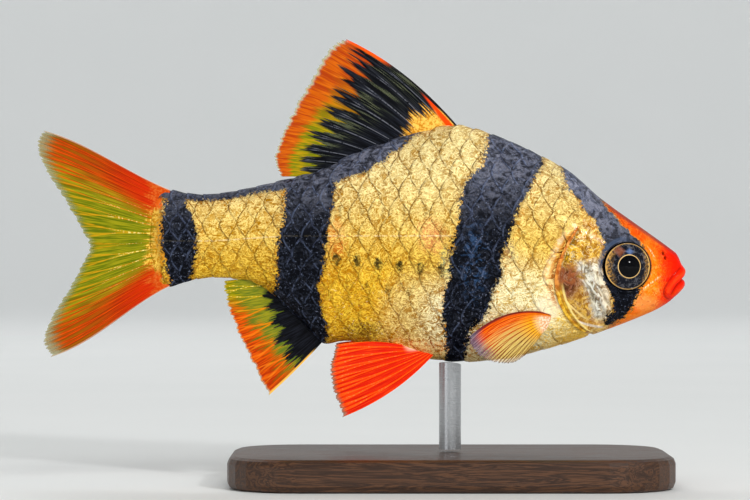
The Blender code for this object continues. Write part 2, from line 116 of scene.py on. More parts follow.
body = {
    "tailRoot": -28.2, "tailCap": -30.1, "snout": 22.5, "nose": 23.25,
    "back": [(-30.3, 30.1), (-28.2, 29.5), (-25.0, 28.97), (-21.5, 29.3), (-17.0, 30.35), (-13.0, 31.45),
             (-10.0, 32.9), (-7.0, 34.05), (-3.0, 35.2), (0.5, 35.95), (5.0, 34.65), (10.0, 32.35),
             (12.5, 30.8), (15.0, 28.6), (20.0, 25.0), (22.0, 23.55), (22.9, 22.8), (23.4, 22.1)],
    "belly": [(-30.3, 19.0), (-28.2, 19.65), (-25.0, 20.55), (-22.5, 20.6), (-19.5, 20.05), (-16.0, 17.3),
              (-12.9, 14.2), (-10.5, 14.3), (-5.0, 13.1), (0.0, 12.25), (4.0, 12.4), (8.0, 13.1),
              (14.0, 14.85), (20.0, 17.15), (22.0, 18.3), (23.0, 19.3), (23.5, 20.1)],
    "halfWidth": [(-30.3, 0.5), (-28.2, 0.85), (-25.0, 1.3), (-20.0, 1.95), (-14.0, 2.85), (-6.0, 3.95),
                  (2.0, 4.65), (8.0, 4.85), (12.0, 4.6), (16.0, 4.0), (19.0, 3.25), (21.5, 2.3),
                  (23.0, 1.6), (23.5, 1.4)],
    "widest": [(-30.0, 0.5), (-15.0, 0.5), (0.0, 0.44), (10.0, 0.46), (18.0, 0.52), (23.5, 0.5)],
    "upperFullness": [(-30.0, 1.0), (-10.0, 1.1), (8.0, 1.1), (16.0, 0.9), (23.5, 0.85)],
    "lowerFullness": [(-30.0, 1.0), (-15.0, 1.0), (0.0, 0.85), (10.0, 0.9), (16.0, 1.0), (23.5, 0.9)],
    "aroundCount": 280, "cheek": 13.0, "mouth": 20.4,
    "scaledSkinSunk": 0.1,
}

head = {
    "eye": (17.4, 21.78), "eyeRadius": 2.45, "eyeDepth": 1.35, "eyeSunk": 0.6, "eyeTurn": math.radians(13),
    "socketDepth": 1.15, "socketEdge": (2.2, 2.43),
    "mouthLine": place([(694, 274), (684, 276.5), (680, 280), (676, 284), (672.5, 289), (670, 294.5)]),
    "upperLip": place([(684.5, 269), (679, 274), (673, 279.5), (668.6, 285), (665.8, 291)]),
    "lowerLip": place([(684.5, 282.8), (680, 286), (675.6, 290), (671.5, 294.2)]),
    "lipFold": place([(678, 268), (671.3, 275), (665.6, 283), (662.2, 290.5), (663.2, 296.5), (667.5, 299)]),
    "chinLine": place([(668, 301.5), (674, 297.5), (681, 291.5), (684.5, 288.5)]),
    "nostrils": place([(661.2, 253.2), (663.2, 257.8)]),
    "cheekLines": [
        place([(586, 264), (588, 277), (586, 286), (588, 294), (593.7, 301.6), (599.4, 308.3)]),
        place([(592, 272), (594, 284), (600, 296), (606, 306)]),
    ],
    "gillSlit": place([(577, 224), (564, 243), (557, 257), (552.4, 268), (550.5, 283), (553, 296),
                       (558, 308.5), (567, 321.5), (577, 329.5), (590, 335)]),
    "shoulderBone": place([(538, 300), (541, 309), (548, 315), (556, 318.5), (563, 320.5)]),
}


def bodySection(x):
    top, bottom = curveAt(body["back"], x), curveAt(body["belly"], x)
    half = curveAt(body["halfWidth"], x)
    level = bottom + (top - bottom) * curveAt(body["widest"], x)
    front = np.clip((x - body["snout"]) / (body["nose"] - body["snout"]), 0, 1)
    rear = np.clip((x - body["tailRoot"]) / (body["tailCap"] - body["tailRoot"]), 0, 1)
    shrink = np.sqrt(np.maximum(0, 1 - np.maximum(front, rear)**2))
    return level, (top - level) * shrink, (level - bottom) * shrink, half * shrink**0.6


def skinY(x, z):
    level, up, down, half = bodySection(x)
    full = np.where(z > level, curveAt(body["upperFullness"], x), curveAt(body["lowerFullness"], x))
    share = np.minimum(np.abs(z - level) / np.maximum(np.where(z > level, up, down), 1e-6), 1)
    return half * (1 - share**2) ** (full / 2)


def sectionLoop(x, count=721):  # once round the body, from the back's ridge down the right side
    turn = np.radians(90) + np.linspace(0, 2 * math.pi, count)
    level, up, down, half = bodySection(x)
    side, rise = np.cos(turn), np.sin(turn)
    full = np.where(rise > 0, curveAt(body["upperFullness"], x), curveAt(body["lowerFullness"], x))
    y = np.sign(side) * np.abs(side) ** full * half
    z = level + np.where(rise > 0, up, down) * rise
    length = np.concatenate([[0], np.cumsum(np.hypot(np.diff(y), np.diff(z)))])
    return y, z, length


def loopPlaces(x, y, z, length, spots):  # places on a section's loop, at lengths along it
    across, up = np.interp(spots, length, y), np.interp(spots, length, z)
    return np.stack([np.full(len(spots), x), across, up], axis=1)


def headRelief(x, z):  # folds, lips, nostrils and sockets, as a rise along the skin's normal
    rise = np.zeros(x.shape)
    for name, front, rear, width in (("upperLip", 0.3, 0.14, 0.42), ("lowerLip", 0.52, 0.04, 0.44)):
        away, share = lineDistance(x, z, head[name])
        rise = rise + (front + (rear - front) * share) * bump(away, 0, width)
    away, share = lineDistance(x, z, head["mouthLine"])
    rise = rise - (0.2 + 0.3 * (1 - share)) * bump(away, 0, 0.1)
    for name, depth, width in (("lipFold", 0.14, 0.12), ("chinLine", 0.05, 0.12)):
        away, share = lineDistance(x, z, head[name])
        rise = rise - depth * bump(away, 0, width) * np.sin(math.pi * np.clip(share, 0.08, 0.92))
    for nx, nz in head["nostrils"]:
        away = np.hypot((x - nx) * 1.1, z - nz)
        rise = rise - 0.34 * bump(away, 0, 0.13) + 0.1 * bump(away, 0.24, 0.08)
    away = np.hypot(x - head["eye"][0], z - head["eye"][1])
    rise = rise - head["socketDepth"] * (1 - ease(*head["socketEdge"], away))
    for height, centre, width in ((0.13, 2.56, 0.12), (-0.05, 2.8, 0.09), (0.05, 3.0, 0.13)):
        rise = rise + height * bump(away, centre, width)
    for line in head["cheekLines"]:
        away, share = lineDistance(x, z, line)
        rise = rise - 0.1 * bump(away, 0, 0.13) + 0.09 * bump(away, 0.3, 0.16)
    away, share = lineDistance(x, z, head["gillSlit"])
    rise = rise - 0.22 * bump(away, 0, 0.2)
    away, share = lineDistance(x, z, head["shoulderBone"])
    return rise + 0.16 * bump(away, 0, 0.26)


def deselectAll():
    for item in bpy.context.selected_objects:
        item.select_set(False)


def pick(piece):
    deselectAll()
    piece.select_set(True)
    bpy.context.view_layer.objects.active = piece


def cornersOf(piece):
    flat = np.empty(len(piece.data.vertices) * 3)
    piece.data.vertices.foreach_get("co", flat)
    return flat.reshape(-1, 3)


def gridPiece(name, columns, rows):  # a flat grid whose corners say which column and row they are
    deselectAll()
    bpy.ops.mesh.primitive_grid_add(x_subdivisions=columns - 1, y_subdivisions=rows - 1, size=1)
    piece = bpy.context.active_object
    piece.name = piece.data.name = name
    flat = cornersOf(piece)
    column = np.rint((flat[:, 0] + 0.5) * (columns - 1)).astype(int)
    row = np.rint((flat[:, 1] + 0.5) * (rows - 1)).astype(int)
    return piece, column, row


def moveCorners(piece, points):  # millimetres
    piece.data.vertices.foreach_set("co", (points * mm).astype(np.float32).ravel())
    piece.data.update()


def useModifier(piece, kind, **settings):
    pick(piece)
    modifier = piece.modifiers.new(kind.lower(), kind)
    for key, value in settings.items():
        setattr(modifier, key, value)
    bpy.ops.object.modifier_apply(modifier=modifier.name)


def closeShell(piece, distance=0.00001):
    pick(piece)
    bpy.ops.object.mode_set(mode="EDIT")
    bpy.ops.mesh.select_all(action="SELECT")
    bpy.ops.mesh.remove_doubles(threshold=distance)
    bpy.ops.mesh.normals_make_consistent(inside=False)
    bpy.ops.object.mode_set(mode="OBJECT")


def smoothFaces(piece):
    pick(piece)
    bpy.ops.object.shade_smooth()


def gridNormals(points):  # points is columns by rows by 3
    across = np.gradient(points, axis=0)
    upward = np.gradient(points, axis=1)
    normal = np.cross(across, upward)
    return normal / np.maximum(np.linalg.norm(normal, axis=-1, keepdims=True), 1e-9)


def storeValue(piece, name, values):
    layer = piece.data.attributes.new(name, "FLOAT", "POINT")
    layer.data.foreach_set("value", np.asarray(values, dtype=np.float32))


# shader helpers

class Wire:  # a socket that can be calculated with
    def __init__(self, paint, socket):
        self.paint, self.socket = paint, socket

    def __add__(self, other):
        return self.paint.maths("ADD", self, other)

    def __sub__(self, other):
        return self.paint.maths("SUBTRACT", self, other)

    def __rsub__(self, other):
        return self.paint.maths("SUBTRACT", other, self)

    def __mul__(self, other):
        return self.paint.maths("MULTIPLY", self, other)

    def __truediv__(self, other):
        return self.paint.maths("DIVIDE", self, other)

    def __rtruediv__(self, other):
        return self.paint.maths("DIVIDE", other, self)

    def __pow__(self, power):
        return self.paint.maths("POWER", self, power)

    def __abs__(self):
        return self.paint.maths("ABSOLUTE", self)

    __radd__, __rmul__ = __add__, __mul__


class Paint:  # one material
    def __init__(self, name, **constants):
        self.material = bpy.data.materials.new(name)
        self.material.use_nodes = True
        self.tree = self.material.node_tree
        self.shader = self.tree.nodes["Principled BSDF"]
        for key, value in constants.items():
            self.shader.inputs[key.replace("_", " ")].default_value = value

    def add(self, kind, settings=(), sockets=()):
        node = self.tree.nodes.new(kind)
        for key, value in dict(settings).items():
            if key == "knots":
                curve = node.mapping.curves[0]
                while len(curve.points) < len(value):
                    curve.points.new(0.5, 0.5)
                for knot, spot in zip(curve.points, value):
                    knot.location = spot
                    knot.handle_type = "AUTO"
                node.mapping.update()
            else:
                setattr(node, key, value)
        for key, value in dict(sockets).items():
            self.join(value, node.inputs[key])
        return node

    def join(self, value, socket):
        if isinstance(value, Wire):
            self.tree.links.new(value.socket, socket)
        else:
            socket.default_value = value

    def out(self, node, socket=0):
        return Wire(self, node.outputs[socket])

    def maths(self, operation, first, second=0.0, third=0.0):
        sockets = {0: first, 1: second, 2: third}
        return self.out(self.add("ShaderNodeMath", {"operation": operation}, sockets))

    def least(self, first, second):
        return self.maths("MINIMUM", first, second)

    def most(self, first, second):
        return self.maths("MAXIMUM", first, second)

    def away(self, first, second):
        return self.maths("SQRT", first ** 2.0 + second ** 2.0)

    def step(self, low, high, value):  # smooth, 0 at low and 1 at high, falling where low is above high
        return self.out(self.add("ShaderNodeMapRange", {"interpolation_type": "SMOOTHSTEP"}, {
            "Value": value, "From Min": low, "From Max": high, "To Min": 0.0, "To Max": 1.0}))

    def patch(self, along, down, middle, size, soft=0.45):  # an oval with soft edges
        away = self.away((along - middle[0]) / size[0], (down - middle[1]) / size[1])
        return 1.0 - self.step(1 - soft, 1 + soft, away)

    def curve(self, value, spots, across=1.0, tall=1.0):  # height at value of a smooth line through spots
        knots = sorted((a / across, b / tall) for a, b in spots)
        return self.out(self.add("ShaderNodeFloatCurve", {"knots": knots}, {"Value": value / across})) * tall

    def mix(self, share, first, second):
        return self.out(self.add("ShaderNodeMix", {"data_type": "RGBA"}, {0: share, 6: first, 7: second}), 2)

    def noise(self, where, scale, detail=2.0, roughness=0.55, twist=0.0, sides="3D"):
        return self.out(self.add("ShaderNodeTexNoise", {"noise_dimensions": sides}, {
            "Vector": where, "Scale": scale, "Detail": detail, "Roughness": roughness, "Distortion": twist}))

    def flatNoise(self, first, second, scale=1.0, detail=2.0, roughness=0.6, twist=0.0):
        where = self.out(self.add("ShaderNodeCombineXYZ", {}, {0: first, 1: second}))
        return self.noise(where, scale, detail, roughness, twist, "2D")

    def value(self, name):
        return self.out(self.add("ShaderNodeAttribute", {"attribute_name": name}), 2)

    def position(self, stretch=(1.0, 1.0, 1.0)):  # in millimetres
        coordinates = self.out(self.add("ShaderNodeTexCoord"), 3)
        return self.out(self.add("ShaderNodeVectorMath", {"operation": "MULTIPLY"},
                                 {0: coordinates, 1: [1000.0 * s for s in stretch]}))

    def split(self, vector):
        node = self.add("ShaderNodeSeparateXYZ", {}, {0: vector})
        return [self.out(node, k) for k in range(3)]

    def raised(self, height, strength, distance):
        sockets = {"Height": height, "Strength": strength, "Distance": distance}
        return self.out(self.add("ShaderNodeBump", {}, sockets))

    def wear(self, socket, value):
        self.join(value, self.shader.inputs[socket])

    def coat(self, piece):
        piece.data.materials.clear()
        piece.data.materials.append(self.material)


# markings, shared by skin, scales and gill covers

stripes = {
    "eyeRear": [(562, 160), (562, 171), (568, 191), (577, 200), (581, 209), (590, 217), (596, 228),
                (600, 240), (600.5, 254), (598, 266), (601, 279), (606, 288), (610, 298), (610, 309),
                (603, 317), (604, 326)],
    "eyeFront": [(640, 160), (610, 190), (601, 199), (612, 216), (620, 226), (628, 234), (636, 240),
                 (641, 250), (641, 280), (637, 290), (634, 298), (631, 306), (624, 315), (612, 322),
                 (602, 327)],
    "shoulderRear": [(488, 130), (485.6, 151), (482, 164), (470, 177), (463, 189), (459, 203), (458, 216),
                     (456, 228), (452, 243), (449, 260), (448, 277), (443, 292), (442.6, 325), (446, 349),
                     (443, 366)],
    "shoulderFront": [(543, 150), (539.5, 169), (531, 182), (525, 196), (516, 210), (511, 225), (506, 240),
                      (500, 254), (498, 279), (491, 291), (489, 304), (484, 316), (471, 329), (468, 342),
                      (463, 366)],
    "rumpRear": [(288, 170), (286, 199), (284, 218), (280, 233), (278, 252), (277, 283), (272, 297),
                 (275, 311), (281, 323), (284, 333), (293, 345)],
    "rumpFront": [(338, 170), (334, 196), (332, 214), (328, 229), (325, 258), (323, 273), (319, 285),
                  (322, 302), (323, 314), (327, 327), (327, 350)],
    "gillSlit": [(580, 216), (577, 224), (564, 243), (557, 257), (552.4, 268), (550.5, 283), (553, 296),
                 (558, 308), (567, 321), (577, 330)],
    "stalkRear": [(169, 185), (165, 210), (161, 230), (163, 250), (167, 270), (173, 292)],
    "stalkFront": [(193, 185), (186, 207), (192, 215), (196, 226), (197, 250), (194, 268), (191, 276),
                   (198, 290)],
}
backEdge = [(150, 196), (195, 200), (230, 199), (262, 192), (290, 188), (335, 182), (347, 178), (365, 173),
            (372, 168), (384, 162), (391, 153), (401, 149), (406, 142), (414, 136), (432, 124), (470, 100)]
foreheadLine = [(600, 200), (630, 222), (655, 239), (670, 250), (684, 266)]

goldPatches = [  # middle, size, share and tint
    ((350, 302), (54, 52), 0.95, (204, 138, 0)),
    ((425, 305), (34, 46), 0.75, (158, 112, 46)),
    ((525, 296), (40, 28), 0.8, (222, 194, 118)),
    ((500, 300), (80, 80), 0.4, (204, 166, 82)),
    ((560, 195), (34, 40), 0.6, (196, 162, 92)),
    ((436, 165), (56, 45), 0.75, (204, 172, 98)),
    ((232, 242), (42, 40), 0.6, (196, 140, 8)),
    ((430, 236), (13, 16), 0.85, (222, 128, 88)),
    ((336, 238), (9, 18), 0.9, (216, 110, 36)),
    ((366, 330), (20, 8), 0.9, (96, 58, 12)),
    ((404, 347), (70, 8), 0.85, (226, 112, 16)),
    ((445, 264), (5, 16), 0.9, (70, 132, 122)),
    ((507, 252), (6, 12), 0.5, (110, 150, 150)),
    ((562, 330), (44, 20), 0.85, (255, 208, 92)),
    ((515, 340), (38, 18), 0.5, (250, 208, 100)),
]

spotRows = [
    {"first": 337.0, "last": 438.0, "apart": 20.6, "down": 259.0, "slope": 0.11,
     "size": (3.8, 6.0), "share": 0.9, "tint": (30, 24, 6)},
    {"first": 341.0, "last": 425.0, "apart": 20.9, "down": 212.0, "slope": 0.0,
     "size": (1.9, 6.0), "share": 0.5, "tint": (112, 76, 22)},
    {"first": 347.0, "last": 410.0, "apart": 20.4, "down": 283.0, "slope": 0.14,
     "size": (1.9, 5.0), "share": 0.55, "tint": (96, 64, 16)},
]


def edgeAcross(p, down, name):  # how far along a stripe's edge lies at this height
    return p.curve(down, [(d, a) for a, d in stripes[name]], viewTall, viewWide)


fanAlong, fanDown = 285.0, 240.0  # where the tail's rays would meet


def tailFlames(p, along, down):  # golden streaks that run from the tail's base out along its rays
    turned = (down - fanDown) / (fanAlong - along)
    streaks = p.flatNoise(turned * 62.0, along * 0.03)
    return p.step(-3.0, 4.0, along - 150.0 + (streaks - 0.5) * 38.0), streaks


def fishPlaces(p):  # places in the view, and the noises that all markings share
    where = p.position()
    x, y, z = p.split(where)
    m = SimpleNamespace(along=x * 10.0 + originAlong, down=originDown - z * 10.0)
    m.coarse, m.middling = p.noise(where, 0.4), p.noise(where, 1.5, 3.0)
    m.fine, m.foil = p.noise(where, 4.0, 3.0, 0.6, 0.6), p.noise(where, 0.95, 3.5, 0.58, 1.3)
    m.crumple, m.squiggle = p.noise(where, 1.4, 3.5, 0.6, 1.1), p.noise(where, 1.05, 1.2, 0.5, 2.2)
    # the specks, threads and glints made here are painted highlights, the white sparkles, squiggles and
    # short glints of the foil-like skin, and the creases are painted shade along the foil's folds
    m.speck = p.step(0.66, 0.73, p.noise(where, 4.6, 1.0))
    m.thread = p.step(0.04, 0.014, abs(m.squiggle - 0.5))
    m.glint = p.step(0.035, 0.01, abs(m.foil - 0.5)) * p.step(0.4, 0.52, m.fine)
    m.crease = p.step(0.04, 0.01, abs(m.crumple - 0.52)) * p.step(0.38, 0.5, m.fine)
    m.wavyAlong = m.along + (m.middling - 0.5) * 9.0 + (m.fine - 0.5) * 15.0 + (m.squiggle - 0.5) * 5.0
    m.wavyDown = m.down + (m.fine - 0.5) * 11.0 + (m.coarse - 0.5) * 10.0
    return m


def flankGold(p, m):  # paler up on the shoulder and richer low down
    # the shoulder is paler and carries more painted highlights up top: partly the fish's colour, partly
    # painted light from above
    silvery = p.step(290, 160, m.down) * 0.7 + p.patch(m.along, m.down, (500, 320), (70, 60))
    m.silvery = p.least(silvery + p.patch(m.along, m.down, (415, 315), (34, 40)) * 0.4, 1.0)
    m.cream = p.mix(m.silvery, hue(255, 214, 66), hue(255, 246, 198))
    m.busy = 1.0 - p.patch(m.along, m.down, (548, 328), (72, 44), 0.6) * 0.7
    low = p.step(165, 290, m.wavyDown + (450.0 - m.along) * 0.3)
    gold = p.mix(low, hue(188, 142, 48), hue(184, 128, 4))
    for middle, size, share, tint in goldPatches:
        gold = p.mix(p.patch(m.wavyAlong, m.wavyDown, middle, size) * share, gold, hue(*tint))
    gold = p.mix(p.step(0.35, 0.65, m.coarse) * 0.2, gold, hue(190, 136, 30))
    gold = p.mix(p.step(0.46, 0.34, m.crumple) * m.busy * 0.3, gold, hue(152, 100, 12))
    gold = p.mix(p.step(0.44, 0.34, m.squiggle) * m.busy * 0.35, gold, hue(138, 88, 8))
    # cream mottling, painted highlights (threads, glints, sparkles) and painted shade in the creases, the
    # highlights stronger up on the shoulder
    gold = p.mix(p.step(0.56, 0.7, m.crumple) * (0.1 + m.silvery * 0.3), gold, m.cream)
    gold = p.mix(m.crease * m.busy * 0.25, gold, hue(122, 78, 10))
    gold = p.mix(m.thread * (0.7 + m.silvery * 0.25), gold, m.cream)
    gold = p.mix(m.glint * (0.4 + m.silvery * 0.4), gold, m.cream)
    return p.mix(m.speck * p.step(250, 310, m.down) * 0.5, gold, hue(255, 244, 206))


def rowMarks(p, m, gold):  # rows of dark marks along the flank
    along, down = m.along + (m.fine - 0.5) * 12.0, m.down + (m.crumple - 0.5) * 14.0
    m.spots = 0.0
    for row in spotRows:
        first, last, apart = row["first"], row["last"], row["apart"]
        nearest = p.maths("WRAP", along - first, apart / 2, -apart / 2)
        level = down - row["down"] - (m.along - first) * row["slope"]
        mark = p.patch(nearest, level, (0, 0), row["size"], 0.5)
        mark = mark * p.step(first - 8, first - 5, m.along) * p.step(last + 8, last + 5, m.along)
        mark = mark * (0.5 + p.step(0.42, 0.58, m.middling) * 0.5) * row["share"]
        gold = p.mix(mark, gold, hue(*row["tint"]))
        m.spots = p.most(m.spots, mark)
    return gold


def redHead(p, m, gold):  # red and orange in front of the eye stripe, and a yellow throat
    along, wavyAlong, wavyDown = m.along, m.wavyAlong, m.wavyDown
    m.eyeFront = edgeAcross(p, wavyDown, "eyeFront")
    m.ahead = p.step(-1.0, 2.5, wavyAlong - m.eyeFront) * p.step(594, 600, along)
    under = m.down - p.curve(along, foreheadLine, viewWide, viewTall)
    red = p.mix(p.step(636, 664, along + (m.middling - 0.5) * 16.0), hue(248, 88, 0), hue(238, 24, 0))
    upper = p.step(16, 5, under + (m.fine - 0.5) * 8.0) * p.step(672, 650, along)
    red = p.mix(upper * 0.8, red, hue(224, 66, 14))
    red = p.mix(p.patch(wavyAlong, wavyDown, (646, 274), (11, 28), 0.6) * 0.8, red, hue(252, 136, 10))
    red = p.mix(p.patch(wavyAlong, wavyDown, (641, 303), (14, 8), 0.6) * 0.65, red, hue(252, 160, 84))
    red = p.mix(p.step(0.4, 0.6, m.crumple) * 0.2 * p.step(676, 650, along), red, hue(255, 132, 14))
    red = p.mix(p.step(0.42, 0.32, m.squiggle) * 0.35 * p.step(684, 660, along), red, hue(170, 30, 0))
    # painted highlights: cream squiggles and glints on the snout
    red = p.mix(m.thread * 0.25 * p.step(672, 650, along), red, hue(255, 170, 60))
    red = p.mix(m.glint * 0.4 * p.step(668, 650, along) * p.step(14, 24, under), red, hue(255, 196, 104))
    red = p.mix(p.step(5, 0, under) * 0.7 * p.step(690, 660, along), red, hue(104, 40, 44))
    throat = p.step(-9, 4, wavyDown - 380.0 + (along - 455.0) * 0.36)
    red = p.mix(throat * p.step(672, 640, along) * 0.7, red, hue(255, 140, 8))
    gold = p.mix(throat * p.step(470, 530, along) * 0.85, gold, hue(255, 196, 44))
    # the pale shoulder bone, with a painted highlight along it
    shoulder = p.patch(wavyAlong, wavyDown, (547, 305), (13, 11), 0.5)
    return p.mix(m.ahead, p.mix(shoulder * 0.85, gold, hue(255, 242, 208)), red)


def slitSkin(p, m, skin):  # brown slit behind the gill cover, and peach skin outside it
    m.outside = edgeAcross(p, m.down, "gillSlit") - m.along
    band = p.step(0.0, 1.5, m.outside) * p.step(13.0, 8.0, m.outside + (m.fine - 0.5) * 6.0)
    band = band * p.step(224, 236, m.down) * p.step(316, 296, m.down)
    peach = p.mix(p.step(0.4, 0.6, m.crumple), hue(240, 184, 112), hue(255, 232, 190))
    skin = p.mix(band * 0.85, skin, p.mix(p.step(3.0, 6.0, m.outside), hue(206, 124, 50), peach))
    slit = p.step(3.0, 1.4, abs(m.outside)) * p.step(222, 228, m.down) * p.step(290, 276, m.down)
    return p.mix(slit * 0.85, skin, hue(142, 66, 14))


def tailRoot(p, m, skin):  # gold flames between two red corners
    flame, share = tailFlames(p, m.along, m.down)
    corner = p.most(p.step(214, 206, m.wavyDown), p.step(267, 275, m.wavyDown))
    membrane = p.mix(corner, p.mix(share, hue(112, 112, 6), hue(168, 140, 14)), hue(226, 48, 2))
    gold = p.mix(p.step(0.42, 0.6, m.fine), hue(186, 126, 18), hue(248, 202, 84))
    rooted = p.mix(flame, membrane, p.mix(corner * 0.8, gold, hue(234, 66, 4)))
    return p.mix(p.step(165, 159, m.wavyAlong), skin, rooted)


def darkBands(p, m, skin):  # black bands and back with a brown fringe, paler where the light falls on them
    along, wavyAlong, wavyDown = m.along, m.wavyAlong, m.wavyDown
    inside = p.least(wavyAlong - edgeAcross(p, wavyDown, "eyeRear"), m.eyeFront - wavyAlong)
    for name in ("shoulder", "rump", "stalk"):
        rear, fore = (edgeAcross(p, wavyDown, name + end) for end in ("Rear", "Front"))
        inside = p.most(inside, p.least(wavyAlong - rear, fore - wavyAlong))
    back = p.curve(wavyAlong, backEdge, viewWide, viewTall) - wavyDown
    inside = p.most(inside, p.least(back, 470.0 - along))
    eyeAlong, eyeDown = originAlong + head["eye"][0] * 10, originDown - head["eye"][1] * 10
    m.eyeAway = p.away(along - eyeAlong, m.down - eyeDown)
    inside = p.most(inside, 25.0 - m.eyeAway)
    m.black = p.step(-1.2, 1.2, inside)
    fringe = p.step(-9.0, -1.0, inside) * (1.0 - m.black) * p.step(640, 610, along)
    skin = p.mix(fringe * p.step(0.5, 0.36, m.fine) * 0.5, skin, hue(226, 132, 40))
    skin = p.mix(fringe * p.step(0.46, 0.58, m.fine) * 0.8, skin, hue(98, 54, 16))
    onHead = p.step(545, 575, along)
    m.lit = p.step(240, 150, m.down) * 0.5 + p.step(275, 215, m.down) * onHead * 0.5
    dark = p.mix(m.lit * (0.3 + p.step(0.36, 0.64, m.foil) * 0.9), hue(5, 7, 14), hue(136, 138, 156))
    sheen = p.patch(wavyAlong, wavyDown, (473, 262), (12, 36), 0.6) * p.step(0.46, 0.62, m.crumple)
    dark = p.mix(sheen * 0.4, dark, hue(62, 98, 146))
    dark = p.mix(p.step(0.46, 0.36, m.squiggle) * (0.5 - onHead * 0.3), dark, hue(2, 3, 8))
    # painted shade in the creases, then painted glints and sparkles on the black
    dark = p.mix(m.crease * 0.6, dark, hue(2, 3, 6))
    dark = p.mix(m.glint * (0.14 + m.lit * 0.5), dark, hue(96, 106, 134))
    dark = p.mix(m.speck * 0.3, dark, hue(150, 160, 190))
    return p.mix(m.black, skin, dark)


def fishMarkings(p):
    m = fishPlaces(p)
    skin = redHead(p, m, rowMarks(p, m, flankGold(p, m)))
    skin = tailRoot(p, m, slitSkin(p, m, skin))
    m.skin = darkBands(p, m, skin)
    return m


coverPatches = [  # middle, size, dark and light gold
    ((566, 249), (15, 16), (84, 58, 0), (214, 160, 6)),
    ((584, 244), (13, 15), (144, 90, 8), (218, 170, 68)),
    ((588, 226), (12, 13), (172, 110, 16), (236, 202, 118)),
]
coverLines = [
    ([(548, 282), (560, 297), (570, 307), (577, 313), (588, 320)], hue(255, 222, 140)),
    ([(566, 316), (578, 321.5), (590, 325), (604, 327)], hue(255, 240, 220)),
]


def gillColours(p, m, skin):  # foil-like cheek and cover, between the gill slit and the eye stripe
    along, down = m.along + (m.middling - 0.5) * 8.0, m.down + (m.foil - 0.5) * 8.0
    flake = p.step(0.38, 0.62, m.crumple)
    zone = p.step(548, 553, m.along) * p.step(612, 604, m.along) * p.step(214, 222, m.down)
    zone = zone * p.step(1.5, -0.5, m.outside) * p.step(342, 334, m.down)
    cover = p.mix(flake, hue(150, 98, 16), hue(224, 176, 76))
    for middle, size, low, high in coverPatches:
        gold = p.mix(flake, hue(*low), hue(*high))
        cover = p.mix(p.patch(along, down, middle, size, 0.5) * 0.9, cover, gold)
    # brown oval with fine painted glint lines, then slanting silver and a cream edge towards the eye
    oval = p.patch(along, down, (565, 281), (14, 18), 0.5)
    cover = p.mix(oval * 0.92, cover, p.mix(p.step(0.35, 0.65, m.foil), hue(70, 22, 18), hue(142, 74, 44)))
    cover = p.mix(oval * m.glint * 0.25, cover, hue(206, 150, 120))
    slant = m.along - 583.0 - (m.down - 262.0) * 0.3
    streaks = p.flatNoise(slant * 0.2, m.down * 0.1, 1.0, 4.0, 0.62, 1.2)
    level = p.step(256, 268, down) * p.step(330, 318, down)
    silver = p.mix(p.step(0.36, 0.62, streaks), hue(104, 104, 94), hue(232, 234, 224))
    pearl = p.mix(p.step(0.34, 0.6, streaks), hue(146, 110, 70), hue(242, 226, 194))
    loose = slant + (m.foil - 0.5) * 18.0
    cover = p.mix(p.step(-13.0, -3.0, loose) * level * 0.85, cover, silver)
    cover = p.mix(p.step(2.0, 10.0, loose) * level * 0.8, cover, pearl)
    cover = p.mix(p.step(1.8, 0.5, abs(loose - 2.0)) * level * 0.4, cover, hue(140, 92, 52))
    lower = p.mix(flake, hue(206, 140, 40), hue(255, 214, 120))
    cover = p.mix(p.patch(along, down, (590, 326), (26, 7), 0.6) * 0.85, cover, lower)
    high = p.step(276, 258, m.down)
    # painted shade in the creases and painted glints, both stronger up high
    cover = p.mix(m.crease * 0.4 * high, cover, hue(110, 74, 14))
    cover = p.mix(m.glint * (0.25 + high * 0.2) * (1.0 - oval * 0.8), cover, hue(255, 240, 190))
    for points, tint in coverLines:
        first, last = points[0][0], points[-1][0]
        near = p.step(1.7, 0.5, abs(m.down - p.curve(m.along, points, viewWide, viewTall)))
        near = near * p.step(first, first + 4, m.along) * p.step(last, last - 5, m.along)
        cover = p.mix(near * 0.85, cover, tint)
    return p.mix(zone * (1.0 - m.black), skin, cover)


def skinMaterial():
    p = Paint("fishSkin", Coat_Weight=0.09, Coat_Roughness=0.1, Specular_IOR_Level=0.02)
    m = fishMarkings(p)
    along, down = m.along, m.down
    skin = gillColours(p, m, m.skin)
    # grey-blue fold behind the eye, a painted highlight along the lips, painted shade in the mouth line and
    # folds, nostrils and a row of pores below the eye
    fold = p.step(24.5, 26.0, m.eyeAway) * p.step(30.5, 28.0, m.eyeAway) * p.step(634, 612, along)
    skin = p.mix(fold * p.step(290, 262, down) * 0.55, skin, hue(70, 86, 114))
    # painted highlight along the lips
    skin = p.mix(p.value("lip") * 0.45, skin, hue(255, 84, 24))
    # painted shade in the mouth line, lip fold and chin line
    skin = p.mix(p.value("fold") * 0.7, skin, hue(140, 12, 0))
    nostril = p.most(p.patch(along, down, (661.2, 253.4), (1.3, 1.9), 0.5),
                     p.patch(along, down, (663.2, 258.0), (1.2, 1.8), 0.5))
    skin = p.mix(nostril * 0.75, skin, hue(84, 18, 8))
    level = down - 289.0 + (along - 640.0) * 0.72
    pores = p.patch(p.maths("WRAP", along, 1.2, -1.2), level, (0, 0), (0.8, 1.0), 0.6)
    pores = pores * p.step(638, 642, along) * p.step(660, 655, along) * p.step(0.4, 0.5, m.fine)
    skin = p.mix(pores * 0.8, skin, hue(255, 236, 190))
    metal = (1.0 - m.black) * (1.0 - m.ahead)
    p.wear("Base Color", skin)
    p.wear("Metallic", metal * 0.22)
    p.wear("Roughness", 0.3 + m.fine * 0.2)
    p.wear("Normal", p.raised(m.foil * (0.25 + metal * 0.75) + m.fine * 0.2, 0.55, 0.0003))
    return p


